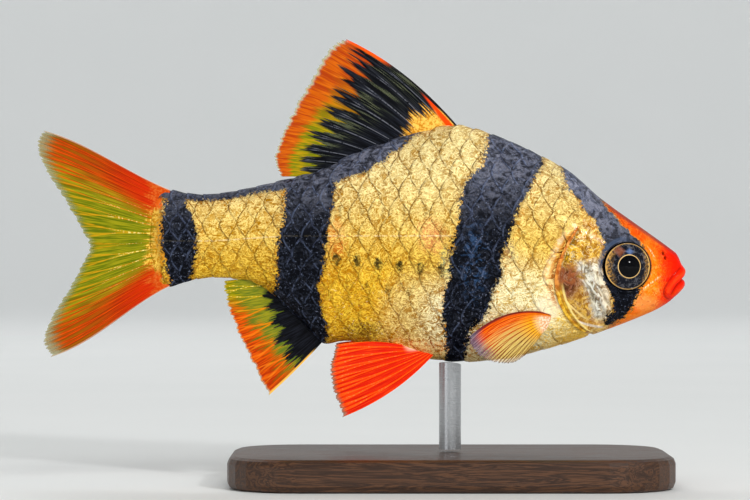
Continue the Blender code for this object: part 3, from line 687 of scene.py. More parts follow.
def scaleMaterial():
    p = Paint("fishScales", Coat_Weight=0.06, Coat_Roughness=0.09, Specular_IOR_Level=0.03)
    m = fishMarkings(p)
    edge, tone, fan = p.value("edge"), p.value("tone"), p.value("fan")
    rays = p.flatNoise(edge * 0.8 + tone * 37.0, fan * 2.6, 1.5, 1.2, 0.5, 0.9)
    light = 1.0 - m.black
    brown = hue(152, 100, 16)
    skin = p.mix(p.step(0.35, 1.0, tone) * 0.12 * light, m.skin, m.cream)
    skin = p.mix(p.step(0.4, 0.0, tone) * 0.2 * light, skin, brown)
    # each scale painted lighter in its middle as a painted highlight, and darker round its border as painted
    # shade under the rim of the scale in front
    centre = p.step(0.1, 0.5, edge) * p.step(1.8, 1.0, edge) * p.step(0.95, 0.3, abs(fan))
    skin = p.mix(centre * p.step(0.48, 0.62, rays) * (0.05 + m.silvery * 0.45) * light, skin, m.cream)
    skin = p.mix((1.0 - centre) * 0.2 * light * m.busy, skin, brown)
    sheen = p.step(0.05, 0.015, abs(rays - 0.48))
    skin = p.mix(sheen * (0.5 + m.silvery * 0.4) * light, skin, m.cream)
    skin = p.mix(p.step(0.43, 0.33, rays) * 0.3 * light * m.busy, skin, brown)
    # rays and crescents on the bands; the pale crescents are painted glints along the scale rims, brighter
    # where the light falls
    skin = p.mix(p.step(0.5, 0.3, rays) * m.black * 0.5, skin, hue(2, 3, 8))
    skin = p.mix(p.step(0.5, 0.72, rays) * m.black * (0.03 + m.lit * 0.35), skin, hue(140, 146, 166))
    arc = p.step(0.3, 0.2, edge) * p.step(0.06, 0.14, edge) * p.step(0.44, 0.56, m.crumple)
    skin = p.mix(arc * m.black * (0.25 + m.lit * 0.35), skin, hue(112, 126, 160))
    # thin dark outline, broken here and there, and blue-grey on the bands
    high = p.step(310, 200, m.down)
    broken = 0.02 + p.step(0.42, 0.56, m.middling) * (0.12 + high * 0.5)
    line = p.step(0.16, 0.05, edge + (m.fine - 0.5) * 0.14) * broken
    line = line * (1.0 - p.step(265, 310, m.down) * 0.6) * (0.4 + m.busy * 0.6)
    shine = p.step(0.32, 0.2, edge) * p.step(0.08, 0.16, edge) * p.step(0.5, 0.6, m.crumple)
    skin = p.mix(shine * (0.3 + high * 0.3) * light, skin, m.cream)
    skin = p.mix(line, skin, p.mix(m.black, hue(104, 64, 14), hue(66, 72, 96)))
    skin = p.mix(m.spots ** 1.6 * light, skin, hue(30, 22, 6))
    lateral = p.step(1.1, 0.3, abs(m.down - 236.0 - p.step(300, 200, m.along) * 5.0))
    lateral = lateral * p.step(0.42, 0.52, m.fine) * p.step(460, 440, m.along)
    skin = p.mix(lateral * (0.45 * light + 0.03), skin, hue(255, 232, 180))
    relief = (rays * 0.7 + m.foil + m.crumple * 0.7) * (0.5 + light * 0.5)
    p.wear("Base Color", skin)
    p.wear("Metallic", light * 0.2)
    p.wear("Roughness", 0.3 + m.fine * 0.22)
    p.wear("Normal", p.raised(relief, 0.65, 0.00028))
    return p


def gillMaterial():
    p = Paint("gillCover", Coat_Weight=0.12, Coat_Roughness=0.06, Specular_IOR_Level=0.04)
    m = fishMarkings(p)
    rim = p.value("rim")
    cover = gillColours(p, m, m.skin)
    low = p.step(280, 296, m.down)
    gold = p.mix(p.step(0.4, 0.6, m.middling), hue(190, 124, 10), hue(250, 200, 60))
    cover = p.mix(p.step(0.76, 0.84, rim) * low * 0.9, cover, gold)
    loose = rim + (m.foil - 0.5) * 0.16
    copper = p.mix(p.step(0.4, 0.6, m.middling), hue(176, 78, 12), hue(232, 150, 66))
    cover = p.mix(p.step(0.86, 0.92, loose) * (1.0 - low) * 0.85, cover, copper)
    shine = p.step(0.74, 0.78, rim) * p.step(0.84, 0.8, rim) * low
    cover = p.mix(shine * 0.85, cover, hue(255, 228, 140))
    cover = p.mix(p.step(0.86, 0.88, rim) * p.step(0.92, 0.89, rim) * low * 0.5, cover, hue(120, 76, 14))
    p.wear("Base Color", cover)
    p.wear("Metallic", 0.25 + m.fine * 0.1)
    p.wear("Roughness", 0.22 + m.fine * 0.2)
    p.wear("Normal", p.raised(m.foil + m.crumple * 0.5, 0.5, 0.0003))
    return p


# skin

def makeSkin():
    root, snout = body["tailRoot"], body["snout"]
    cap = root + (body["tailCap"] - root) * np.sin(np.radians(np.linspace(90, 10, 9)))
    trunk = np.linspace(root, body["cheek"], 90)
    cheek = np.linspace(body["cheek"], body["mouth"], 66)[1:]
    mouth = np.linspace(body["mouth"], snout, 32)[1:]
    nose = snout + (body["nose"] - snout) * np.sin(np.radians(np.linspace(0, 90, 19)))[1:]
    stations = np.concatenate([cap, trunk, cheek, mouth, nose])
    count = body["aroundCount"]
    points = np.empty((len(stations), count, 3))
    for k, x in enumerate(stations):
        y, z, length = sectionLoop(x)
        points[k] = loopPlaces(x, y, z, length, np.linspace(0, length[-1], count))
    points[:, -1] = points[:, 0]
    around = np.concatenate([points[:, -2:-1], points, points[:, 1:2]], axis=1)
    normals = -gridNormals(around)[:, 1:-1]
    outward = normals[..., 1] * points[..., 1] + normals[..., 2] * (points[..., 2] - 22)
    normals *= np.where(np.median(outward) < 0, -1, 1)
    normals[-1], normals[0] = (1, 0, 0), (-1, 0, 0)
    x, z = points[..., 0], points[..., 2]
    scaled = 1 - ease(-0.6, 0.4, x - scaleFront(z))
    rise = headRelief(x, z) - body["scaledSkinSunk"] * scaled
    # closeness to the mouth line, lip fold and chin line, for painted shade in them
    foldShades = np.zeros(x.shape)
    for name in ("mouthLine", "lipFold", "chinLine"):
        away, share = lineDistance(x, z, head[name])
        foldShades = np.maximum(foldShades, bump(away, 0, 0.1) * (0.5 if name == "chinLine" else 1))
    # closeness to the lips, for a painted highlight along them
    lipHighlights = np.zeros(x.shape)
    for name in ("upperLip", "lowerLip"):
        away, share = lineDistance(x, z, head[name])
        lipHighlights = np.maximum(lipHighlights, bump(away, 0, 0.17))
    points = points + normals * rise[..., None]
    piece, column, row = gridPiece("skin", len(stations), count)
    moveCorners(piece, points[column, row])
    storeValue(piece, "fold", foldShades[column, row])
    storeValue(piece, "lip", lipHighlights[column, row])
    closeShell(piece)
    smoothFaces(piece)
    return piece


def scaleFront(z):  # how far forward the scales reach at each height
    return curveAt([(12.0, 13.4), (15.5, 11.6), (18.0, 9.8), (20.5, 9.2), (23.0, 9.8), (25.4, 11.4),
                    (26.6, 12.0), (29.0, 11.9), (32.5, 11.0)], z)


# scales

scales = {
    "pitch": 2.02, "edgeDepth": 0.66, "rootLength": 1.42, "rowsEachWay": 9, "first": 15.0, "last": -29.6,
    "thickness": 0.035, "rootLift": -0.09, "edgeLift": 0.055, "dome": 0.05, "overlap": 1.03, "wobble": 0.012,
    "rowHeight": [(-29, 1.52), (-16, 1.8), (-8, 2.08)],
    "pitchShare": [(-29, 0.8), (-16, 0.9), (-6, 1.0)],
    "liftShare": [(15, 0.6), (21, 0.75), (26, 1.0)],
    "tableAlong": 0.25, "tableUp": 0.2, "mapStart": 31, "mapLength": 55, "mapTall": 40,
    "lateral": [(-31, 24.3), (-25, 24.2), (-17, 24.7), (-8, 24.9), (0, 24.9), (6, 25.0), (12, 25.3)],
    "seed": 5,
}


def scaleValue(name, x):
    return np.interp(x, *np.array(scales[name], dtype=float).T)


def scaleEdge(fan):  # how far back a scale's rounded edge lies, across its width
    return -scales["edgeDepth"] * np.abs(fan)**1.7


def bodyTable():  # places on the right side by X and by distance up from the side's middle line
    xs = np.arange(-30.0, 16.01, scales["tableAlong"])
    ups = np.arange(-19.0, 19.01, scales["tableUp"])
    table = np.empty((len(xs), len(ups), 3))
    topReach, bottomReach = np.empty(len(xs)), np.empty(len(xs))
    for k, x in enumerate(xs):
        y, z, length = sectionLoop(x)
        half = len(y) // 2
        middle = np.interp(-curveAt(scales["lateral"], x), -z[:half], length[:half])
        table[k] = loopPlaces(x, y, z, length, np.mod(middle - ups, length[-1]))
        topReach[k], bottomReach[k] = middle, length[half] - middle
    normals = gridNormals(table)
    if normals[90, 95, 1] > 0:
        normals = -normals
    return xs, ups, table, normals, topReach, bottomReach


def sampleTable(xs, ups, table, x, up):
    i = np.clip((x - xs[0]) / scales["tableAlong"], 0, len(xs) - 1.001)
    j = np.clip((up - ups[0]) / scales["tableUp"], 0, len(ups) - 1.001)
    a, b = i.astype(int), j.astype(int)
    s, t = (i - a)[..., None], (j - b)[..., None]
    return ((table[a, b] * (1 - s) + table[a + 1, b] * s) * (1 - t)
            + (table[a, b + 1] * (1 - s) + table[a + 1, b + 1] * s) * t)


def plateForm():  # one scale, flat: back along X, up along Y, in units of pitch and row height
    piece, column, row = gridPiece("plate", 8, 13)
    share, fan = column / 7, row / 6 - 1
    edge = scaleEdge(fan)
    root = -scales["rootLength"] + 0.35 * np.abs(fan)**2
    share = share**0.8
    back = root + (edge - root) * share
    lift = (scales["rootLift"] + (scales["edgeLift"] - scales["rootLift"]) * share
            + scales["dome"] * (1 - fan**2) * np.sin(math.pi * np.clip(share, 0, 1)))
    moveCorners(piece, np.stack([back, fan, lift], axis=1))
    useModifier(piece, "SOLIDIFY", thickness=scales["thickness"] * mm, offset=-1.0)
    corners = cornersOf(piece) / mm
    faces = [tuple(f.vertices) for f in piece.data.polygons]
    bpy.data.objects.remove(piece)
    return corners, faces


def makeScales():
    xs, ups, table, normals, topReach, bottomReach = bodyTable()
    corners, faces = plateForm()
    draw = np.random.default_rng(scales["seed"])
    pitch = scales["pitch"]
    places = []
    for row in range(-scales["rowsEachWay"], scales["rowsEachWay"] + 1):
        x = scales["first"] + (row % 2) * pitch / 2
        while x > scales["last"]:
            height = scaleValue("rowHeight", x)
            step = pitch * scaleValue("pitchShare", x)
            up = row * height
            reach = (np.interp(x, xs, topReach), np.interp(x, xs, bottomReach))
            here = sampleTable(xs, ups, table, np.array([x]), np.array([up]))[0]
            if -reach[1] + 0.1 < up < reach[0] - 0.05 and x < scaleFront(here[2]) - 0.2:
                places.append((x, up, step, height, draw.uniform(0, 1), draw.normal(0, scales["wobble"])))
            x -= step
    made = []
    for side, name in ((1, "scalesRight"), (-1, "scalesLeft")):
        vertices, polygons, edges, tones, fans, marks = [], [], [], [], [], []
        for number, (x, up, step, height, tone, wobble) in enumerate(places):
            away = scaleEdge(corners[:, 1]) - corners[:, 0]
            spotX, spotUp = x - corners[:, 0] * step, up + corners[:, 1] * height * scales["overlap"]
            point = sampleTable(xs, ups, table, spotX, spotUp)
            normal = sampleTable(xs, ups, normals, spotX, spotUp)
            normal /= np.linalg.norm(normal, axis=1, keepdims=True)
            lift = (corners[:, 2] + wobble) * scaleValue("liftShare", point[:, 2])
            point = point + normal * lift[:, None]
            point[:, 1] *= side
            start = number * len(corners)
            vertices.append(point)
            polygons.extend(tuple(start + v for v in (face if side > 0 else face[::-1])) for face in faces)
            edges.append(np.maximum(away * step, 0))
            tones.append(np.full(len(corners), tone))
            fans.append(corners[:, 1])
            onMap = x + scales["mapStart"] + (corners[:, 0] + 0.7) * 0.6 * step
            upMap = up + corners[:, 1] * 0.45 * height
            marks.append(np.stack([onMap / scales["mapLength"], 0.5 + upMap / scales["mapTall"]], axis=1))
        mesh = bpy.data.meshes.new(name)
        mesh.from_pydata((np.concatenate(vertices) * mm).tolist(), [], polygons)
        piece = bpy.data.objects.new(name, mesh)
        scene.collection.objects.link(piece)
        storeValue(piece, "edge", np.concatenate(edges))
        storeValue(piece, "tone", np.concatenate(tones))
        storeValue(piece, "fan", np.concatenate(fans))
        layer = mesh.uv_layers.new(name="OFBake")
        loops = np.empty(len(mesh.loops), dtype=int)
        mesh.loops.foreach_get("vertex_index", loops)
        layer.data.foreach_set("uv", np.concatenate(marks)[loops].astype(np.float32).ravel())
        smoothFaces(piece)
        made.append(piece)
    print("scales placed:", len(places), "a side")
    return made


# gill covers

gill = {
    "rear": place([(578, 223), (570, 234), (563, 245), (557, 257), (553, 269), (551.6, 283), (554, 296),
                   (559, 308), (568, 320.5), (578, 328.5), (590, 333.5)]),
    "front": place([(592, 218), (594, 230), (592, 243), (590, 256), (589, 268), (589, 280), (591, 292),
                    (596, 303), (601, 313), (604, 321), (606, 328)]),
    "rimLine": 0.8, "rimGroove": 0.88, "sunk": 0.22, "rise": 0.34, "thickness": 0.12,
    "columns": 60, "rows": 90,
}


def makeGillCover(name, side):
    columns, rows = gill["columns"], gill["rows"]
    piece, column, row = gridPiece(name, columns, rows)
    u, v = column / (columns - 1), row / (rows - 1)
    flat = alongLine(gill["front"], v) * (1 - u)[:, None] + alongLine(gill["rear"], v) * u[:, None]
    x, z = flat[:, 0], flat[:, 1]
    y = -skinY(x, z)
    points = np.empty((columns, rows, 3))
    points[column, row] = np.stack([x, y, z], axis=1)
    normals = gridNormals(points)
    if normals[30, 40, 1] > 0:
        normals = -normals
    grid = np.zeros((columns, rows))
    grid[column, row] = u
    lift = gill["rise"] * ease(0, 0.4, grid) + 0.05 * ease(0.4, 1.0, grid) - gill["sunk"]
    lift += 0.05 * bump(grid, gill["rimLine"], 0.04) - 0.05 * bump(grid, gill["rimGroove"], 0.05)
    share = np.linspace(0, 1, rows)
    lift -= 0.25 * (1 - ease(0.0, 0.09, np.minimum(share, 1 - share)))[None, :]
    points = points + normals * lift[..., None]
    points[..., 1] *= -side
    moveCorners(piece, points[column, row])
    storeValue(piece, "rim", u)
    useModifier(piece, "SOLIDIFY", thickness=gill["thickness"] * mm, offset=-1.0 if side < 0 else 1.0)
    closeShell(piece, 0.000001)
    smoothFaces(piece)
    return piece


# eyes

eyeForm = {"irisSunk": 0.3, "irisFrom": 2.36, "irisFull": 2.1, "lens": 1.35, "lensRise": 0.55,
           "rim": 2.32, "pupilRing": 1.14}


def makeEye(name, side):
    deselectAll()
    bpy.ops.mesh.primitive_uv_sphere_add(segments=72, ring_count=48, radius=1.0)
    piece = bpy.context.active_object
    piece.name = piece.data.name = name
    ball = cornersOf(piece)
    radius, depth = head["eyeRadius"], head["eyeDepth"]
    wide = np.hypot(ball[:, 0], ball[:, 1])
    out = ball[:, 2] * depth
    spread = wide * radius
    # flatter iris with a small step at its gold rim, and a round lens over the pupil
    front = ball[:, 2] > 0
    iris = front * ease(eyeForm["irisFrom"], eyeForm["irisFull"], spread) * eyeForm["irisSunk"]
    out = out - iris * (1 - eyeForm["lensRise"] * ease(eyeForm["lens"], 0.2, spread))
    out = out - front * 0.06 * bump(spread, eyeForm["rim"], 0.05)
    out = out + front * 0.05 * bump(spread, eyeForm["pupilRing"], 0.05)
    turn = -side * head["eyeTurn"]
    ex, ez = head["eye"]
    ey = side * (float(skinY(np.array(ex), np.array(ez))) - head["eyeSunk"])
    x, y, z = ball[:, 0] * radius, side * out, ball[:, 1] * radius
    points = np.stack([ex + x * math.cos(turn) - y * math.sin(turn),
                       ey + x * math.sin(turn) + y * math.cos(turn), ez + z], axis=1)
    moveCorners(piece, points)
    storeValue(piece, "ring", np.where(front, spread, 3.0))
    storeValue(piece, "forward", ball[:, 0])
    storeValue(piece, "upward", ball[:, 1])
    closeShell(piece, 0.0000005)
    smoothFaces(piece)
    return piece


def eyeMaterial():
    p = Paint("eye", Coat_Weight=0.25, Coat_Roughness=0.02, Specular_IOR_Level=0.0)
    where = p.position()
    ring, forward, upward = p.value("ring"), p.value("forward"), p.value("upward")
    fine, fleck = p.noise(where, 2.6, 4.0, 0.65, 1.0), p.noise(where, 4.5, 3.0, 0.6)
    iris = p.mix(p.step(0.48, 0.64, fine) * 0.8, hue(14, 16, 26), hue(88, 88, 94))
    sides = p.step(0.35, 0.85, abs(forward - 0.06) * 1.15 - abs(upward) * 0.25)
    outer = p.step(1.5, 2.15, ring)
    iris = p.mix(sides * outer * (0.12 + p.step(0.46, 0.56, fleck) * 0.85), iris, hue(190, 142, 72))
    copper = p.step(0.34, 0.1, abs(forward + 0.38) + abs(upward - 0.62))
    iris = p.mix(copper * 0.6, iris, hue(150, 84, 52))
    # a painted blue-grey reflection across the top of the iris
    paintedReflection = p.step(0.26, 0.06, abs(forward - 0.04) + abs(upward - 0.6) * 1.2)
    iris = p.mix(paintedReflection * 0.45, iris, hue(112, 140, 196))
    goldRim = p.step(2.19, 2.23, ring) * p.step(2.32, 2.28, ring)
    iris = p.mix(goldRim * (0.45 + sides * 0.5), iris, hue(214, 168, 92))
    iris = p.mix(p.step(2.28, 2.33, ring), iris, hue(10, 9, 12))
    gold = p.step(1.09, 1.12, ring) * p.step(1.2, 1.16, ring)
    pupil = p.step(1.12, 1.08, ring)
    iris = p.mix(gold, iris, hue(234, 192, 124))
    p.wear("Base Color", p.mix(pupil, iris, hue(1, 1, 4)))
    p.wear("Metallic", (gold + sides * outer * 0.4) * 0.4)
    p.wear("Roughness", 0.15 + (1.0 - pupil) * 0.25)
    p.wear("Normal", p.raised(fine, 0.15, 0.0001))
    return p


# fins

sunk = 0.9
fins = {
    "dorsalFin": {
        "node": "dorsal_fin", "rootX": (1.5, -12.6), "rays": 12, "rows": 66, "fine": 14,
        "margin": [(-10.3, 44.4), (-12.0, 43.4), (-14.4, 39.4), (-16.1, 36.2), (-17.4, 32.8),
                   (-16.8, 30.75)],
        "bows": ((0.07, 0.0), (0.085, 0.0)), "wave": 0.22, "seed": 1},
    "analFin": {
        "node": "anal_fin", "rootX": (-12.1, -18.9), "rays": 8, "rows": 56, "fine": 16,
        "margin": [(-18.1, 8.9), (-19.8, 12.4), (-21.4, 15.9), (-22.3, 18.6), (-22.5, 20.3)],
        "bows": ((0.02, -0.02), (0.02, -0.02)), "wave": 0.2, "seed": 2},
    "tailFinUpper": {
        "node": "caudal_fin_upper", "root": ((-28.0, 29.4), (-28.0, 24.35)),
        "rays": 10, "rows": 66, "fine": 14,
        "margin": [(-40.6, 35.3), (-41.2, 33.9), (-40.3, 31.4), (-38.3, 28.2), (-35.8, 23.68)],
        "bows": ((-0.02, 0.0), (0.06, 0.0)), "wave": 0.3, "seed": 3},
    "tailFinLower": {
        "node": "caudal_fin_lower", "root": ((-28.0, 19.8), (-28.0, 24.35)),
        "rays": 10, "rows": 66, "fine": 14,
        "margin": [(-39.8, 12.8), (-40.5, 14.4), (-39.6, 16.9), (-37.8, 19.9), (-35.8, 23.82)],
        "bows": ((-0.03, 0.0), (0.08, 0.0)), "wave": 0.3, "seed": 4},
    "pelvicFin": {
        "node": "pelvic_fin", "root": ((-1.75, 12.9), (-3.4, 13.6)), "rays": 9, "rows": 56, "fine": 14,
        "margin": [(-10.6, 7.0), (-11.4, 9.3), (-11.8, 11.6), (-11.3, 14.0)],
        "bows": ((0.08, -0.08), (0.08, -0.08)), "rootY": 1.5, "splay": 0.22, "wave": 0.18, "seed": 5},
    "pectoralFin": {
        "node": "pectoral_fin", "root": ((9.9, 17.1), (9.35, 15.9)), "rays": 13, "rows": 50, "fine": 12,
        "margin": [(1.75, 14.8), (2.3, 13.6), (3.4, 12.75), (5.0, 12.35), (6.4, 12.5), (7.5, 13.3)],
        "bows": ((0.19, -0.05), (0.17, -0.05)), "splay": 0.2, "rise": 0.45, "riseLength": 1.5,
        "rootHalf": 0.45, "wave": 0.12, "seed": 6},
}
finForm = {"membrane": 0.05, "ray": 0.1, "rayWidth": 0.085, "root": 0.22, "fork": 0.36, "secondFork": 0.66,
           "forkWidth": 0.24, "secondWidth": 0.11, "rayTip": 0.2, "webTip": 0.1, "frayed": 0.1}


def finRoot(spec, u):
    if "root" in spec:
        a, b = np.array(spec["root"])
        return a + (b - a) * u[:, None]
    x = spec["rootX"][0] * (1 - u) + spec["rootX"][1] * u
    if spec["margin"][0][1] < 20:
        return np.stack([x, curveAt(body["belly"], x) + sunk], axis=1)
    return np.stack([x, curveAt(body["back"], x) - sunk], axis=1)


def rayPoints(spec, u, v, overhang):
    root = finRoot(spec, u)
    tip = alongLine(spec["margin"], u)
    reach = tip - root
    tip = tip + reach / np.linalg.norm(reach, axis=1, keepdims=True) * overhang[:, None]
    reach = tip - root
    side = np.stack([reach[:, 1], -reach[:, 0]], axis=1)
    towardsFirst = np.array(spec["margin"][0]) - np.array(spec["margin"][-1])
    side *= np.where(side @ towardsFirst < 0, -1, 1)[:, None]
    first, second = ((bow[0] * (1 - u) + bow[1] * u)[:, None] for bow in spec["bows"])
    a, b = root + reach / 3 + side * first, root + reach * 2 / 3 + side * second
    t = v[:, None]
    return root * (1 - t)**3 + a * 3 * t * (1 - t)**2 + b * 3 * t * t * (1 - t) + tip * t**3


def rayGap(spec, u, v):  # distance to the nearest ray or branch, as a share of the rays' spacing
    place = u * (spec["rays"] - 1)
    number = np.rint(place)
    off = place - number
    fork = finForm["forkWidth"] * ease(finForm["fork"], 0.95, v) * (number > 0)
    second = finForm["secondWidth"] * ease(finForm["secondFork"], 1.1, v) * (number > 0)
    return np.min([np.abs(off - a * fork - b * second) for a in (-1, 1) for b in (-1, 1)], axis=0)


def makeFin(name, spec, side=0):
    columns = (spec["rays"] - 1) * spec["fine"] + 1
    rows = spec["rows"]
    piece, column, row = gridPiece(name, columns, rows)
    u, v = column / (columns - 1), row / (rows - 1)
    draw = np.random.default_rng(spec["seed"])
    frayed = finForm["frayed"]
    jitter = np.repeat(draw.uniform(-frayed, frayed, columns // 3 + 2), 3)[:columns]
    gap = rayGap(spec, u, v)
    ray = bump(gap, 0, finForm["rayWidth"] + 0.1 * (1 - v)**2)
    tipRay = bump(rayGap(spec, u, np.ones_like(v)), 0, finForm["rayWidth"])
    overhang = finForm["rayTip"] * tipRay - finForm["webTip"] + jitter[column]
    flat = rayPoints(spec, u, v, overhang)
    start = rayPoints(spec, u, np.zeros_like(v), np.zeros_like(v))
    reach = np.linalg.norm(flat - start, axis=1)
    wave = spec["wave"] * v**1.5 * np.sin(2 * math.pi * (u * 1.35 + v * 0.35 + spec["seed"] * 0.21))
    if "rise" in spec:
        y = skinY(start[:, 0], start[:, 1]) - sunk / 2
        y = y + spec["rise"] * np.minimum(reach, spec["riseLength"]) + spec["splay"] * reach
    elif "splay" in spec:
        y = spec["rootY"] + spec["splay"] * reach
    else:
        y = np.zeros_like(reach)
    y = (y + wave) * (side or 1)
    moveCorners(piece, np.stack([flat[:, 0], y, flat[:, 1]], axis=1))
    half = finForm["membrane"] * (1 - 0.35 * v) + finForm["ray"] * ray * (1 - 0.72 * v)
    half = np.maximum(half, spec.get("rootHalf", finForm["root"]) * (1 - v)**5)
    for key, values in (("across", u), ("outward", v), ("ray", ray), ("gap", gap)):
        storeValue(piece, key, values)
    group = piece.vertex_groups.new(name="thick")
    for n, weight in enumerate(half / half.max()):
        group.add([n], float(weight), "REPLACE")
    useModifier(piece, "SOLIDIFY", thickness=2 * half.max() * mm, offset=0.0, vertex_group="thick")
    closeShell(piece, 0.0000001)
    smoothFaces(piece)
    return piece


def finPaint(name, strength=0.04):
    p = Paint(name, Coat_Weight=0.02, Coat_Roughness=0.2, Specular_IOR_Level=0.05)
    # each fin glows faintly in its own colour, as painted light, though it is no lamp
    p.shader.inputs["Emission Strength"].default_value = strength
    f = SimpleNamespace(**{key: p.value(key) for key in ("across", "outward", "ray", "gap")})
    f.streak = p.flatNoise(f.across * 90.0, f.outward * 3.0)
    f.fine = p.noise(p.position(), 5.0, 3.0)
    f.line = p.step(0.72, 0.97, f.ray)
    return p, f


def finishFin(p, f, colour, solid):
    p.wear("Base Color", colour)
    # the fin's colour also glows, as painted light
    p.wear("Emission Color", colour)
    p.wear("Alpha", p.most(p.least(solid, 1.0), 0.0))
    p.wear("Roughness", 0.4 + f.fine * 0.2)
    p.wear("Normal", p.raised(f.streak, 0.3, 0.00008))
    return p


dorsalDark = [(0, 0.97), (0.1, 0.95), (0.16, 0.88), (0.24, 0.85), (0.34, 0.81), (0.5, 0.77), (0.7, 0.74),
              (0.85, 0.68), (1, 0.54)]  # how far out the black reaches, from the first ray to the last


def dorsalMaterial():
    p, f = finPaint("dorsalFin")
    u, v, gap, streak, fine, line = f.across, f.outward, f.gap, f.streak, f.fine, f.line
    inner = p.curve(u, dorsalDark) - v - gap * 0.52 + (streak - 0.5) * 0.3
    orange = p.mix(p.step(0.4, 0.6, streak), hue(168, 56, 0), hue(198, 90, 0))
    orange = p.mix(line * 0.5 * p.step(0.97, 0.8, v), orange, hue(246, 138, 16))
    orange = p.mix(p.step(0.965, 1.0, v) * 0.8, orange, hue(188, 206, 160))
    clear = p.mix(p.step(0.4, 0.6, streak), hue(104, 122, 0), hue(176, 146, 4))
    olive = p.step(0.85, 0.74, v + (streak - 0.5) * 0.2) * p.step(0.2, 0.6, u)
    colour = p.mix(olive * 0.9, orange, clear)
    # black core with clear slits and pale raylets
    black = p.mix(p.step(0.4, 0.75, streak), hue(4, 5, 9), hue(30, 33, 42))
    slit = p.step(0.12, 0.24, gap) * p.step(0.5, 0.62, streak) * p.step(0.25, 0.5, v)
    black = p.mix(slit * 0.6, black, hue(84, 90, 50))
    raylet = p.step(0.045, 0.015, gap) * p.step(0.36, 0.46, fine) * p.step(0.75, 0.5, v)
    black = p.mix(raylet * 0.6, black, hue(120, 122, 132))
    darkness = p.step(-0.02, 0.04, inner)
    colour = p.mix(darkness, colour, black)
    # golden tuft at the root, red flame behind the first ray, dark first ray with a red end
    tuft = v + (streak - 0.5) * 0.3 + p.step(0.24, 0.4, u) * 0.14
    gold = p.mix(p.step(0.4, 0.6, fine), hue(196, 128, 24), hue(244, 190, 84))
    colour = p.mix(p.step(0.24, 0.17, tuft) * p.step(0.42, 0.34, u), colour, gold)
    flame = p.step(0.125, 0.1, u + v * 0.2) * p.step(0.025, 0.04, u) * p.step(0.42, 0.3, v)
    colour = p.mix(flame, colour, p.mix(line, hue(236, 64, 0), hue(250, 120, 24)))
    colour = p.mix(p.step(0.03, 0.015, u) * p.step(0.72, 0.6, v), colour, hue(26, 22, 26))
    colour = p.mix(p.step(0.05, 0.03, u) * p.step(0.64, 0.76, v), colour, hue(228, 78, 2))
    solid = 0.92 + darkness * 0.08 - slit * darkness * 0.2 - p.step(0.95, 1.0, v) * 0.4
    return finishFin(p, f, colour, solid)


def tailMaterial():
    p, f = finPaint("tailFin")
    u, v, gap, streak, fine, line = f.across, f.outward, f.gap, f.streak, f.fine, f.line
    x, y, z = p.split(p.position())
    flame = tailFlames(p, x * 10.0 + originAlong, originDown - z * 10.0)[0]
    red = p.step(0.78, 0.38, u + (streak - 0.5) * 0.5 + v * 0.14 - p.step(0.4, 0.0, v) * 0.1 - line * 0.16)
    lobe = p.mix(p.step(0.38, 0.6, streak), hue(130, 36, 0), hue(186, 50, 0))
    lobe = p.mix(p.step(0.35, 0.8, v) * p.step(0.05, 0.2, gap) * 0.75, lobe, hue(140, 88, 2))
    lobe = p.mix(line * (0.5 + v * 0.3), lobe, hue(224, 88, 0))
    lobe = p.mix(p.step(0.6, 0.1, v) * 0.65, lobe, hue(202, 34, 0))
    middle = p.mix(p.step(0.35, 0.65, streak), hue(92, 106, 0), hue(148, 142, 12))
    middle = p.mix(line * 0.8, middle, hue(200, 142, 16))
    middle = p.mix(line * p.step(0.5, 0.62, fine) * p.step(0.75, 0.4, v), middle, hue(255, 236, 140))
    gold = p.mix(p.step(0.42, 0.6, fine), hue(186, 126, 18), hue(248, 202, 84))
    colour = p.mix(flame * (1.0 - red * 0.85), p.mix(red, middle, lobe), gold)
    rim = p.step(0.88, 1.0, v + (streak - 0.5) * 0.16 + (0.5 - u) * 0.06)
    colour = p.mix(rim * 0.75, colour, hue(128, 134, 44))
    colour = p.mix(p.step(0.985, 1.0, v) * 0.6, colour, hue(196, 204, 170))
    colour = p.mix(p.step(0.02, 0.008, u) * 0.6, colour, hue(214, 190, 160))
    solid = 0.93 + red * 0.07 + line * 0.2 + flame * 0.3 - rim * 0.5
    return finishFin(p, f, colour, solid)


analDark = [(0, 0.6), (0.15, 0.6), (0.3, 0.56), (0.5, 0.47), (0.75, 0.34), (0.9, 0.17), (1, 0.0)]


def analMaterial():
    p, f = finPaint("analFin")
    u, v, gap, streak, fine, line = f.across, f.outward, f.gap, f.streak, f.fine, f.line
    inner = p.curve(u, analDark) - v - gap * 0.34 + (streak - 0.5) * 0.42
    orange = p.mix(p.step(0.42, 0.6, streak), hue(170, 44, 0), hue(212, 80, 0))
    orange = p.mix(line * 0.6, orange, hue(238, 124, 20))
    outer = p.step(0.0, 0.3, v - 0.42 - p.step(0.0, 0.7, u) * 0.2 - gap * 0.2 + (streak - 0.5) * 0.9)
    clear = p.mix(p.step(0.35, 0.65, streak), hue(92, 110, 0), hue(148, 142, 8))
    clear = p.mix(line, clear, p.mix(p.step(0.5, 0.75, u), hue(222, 124, 6), hue(186, 156, 20)))
    clear = p.mix(line * p.step(0.52, 0.62, fine) * p.step(0.6, 0.9, u), clear, hue(250, 230, 120))
    fade = p.step(0.6, 0.78, u + (streak - 0.5) * 0.24)
    colour = p.mix(outer * (1.0 - fade * 0.92), clear, orange)
    dark = p.step(-0.012, 0.02, inner)
    colour = p.mix(dark, colour, p.mix(p.step(0.4, 0.7, streak), hue(4, 5, 8), hue(24, 26, 34)))
    colour = p.mix(p.step(0.03, 0.012, u) * p.step(0.2, 0.35, v), colour, hue(246, 190, 84))
    colour = p.mix(p.step(0.97, 1.0, v) * 0.6, colour, hue(214, 214, 170))
    solid = 0.85 + outer * 0.15 + dark + line * 0.25 - p.step(0.95, 1.0, v) * 0.25
    return finishFin(p, f, colour, solid)


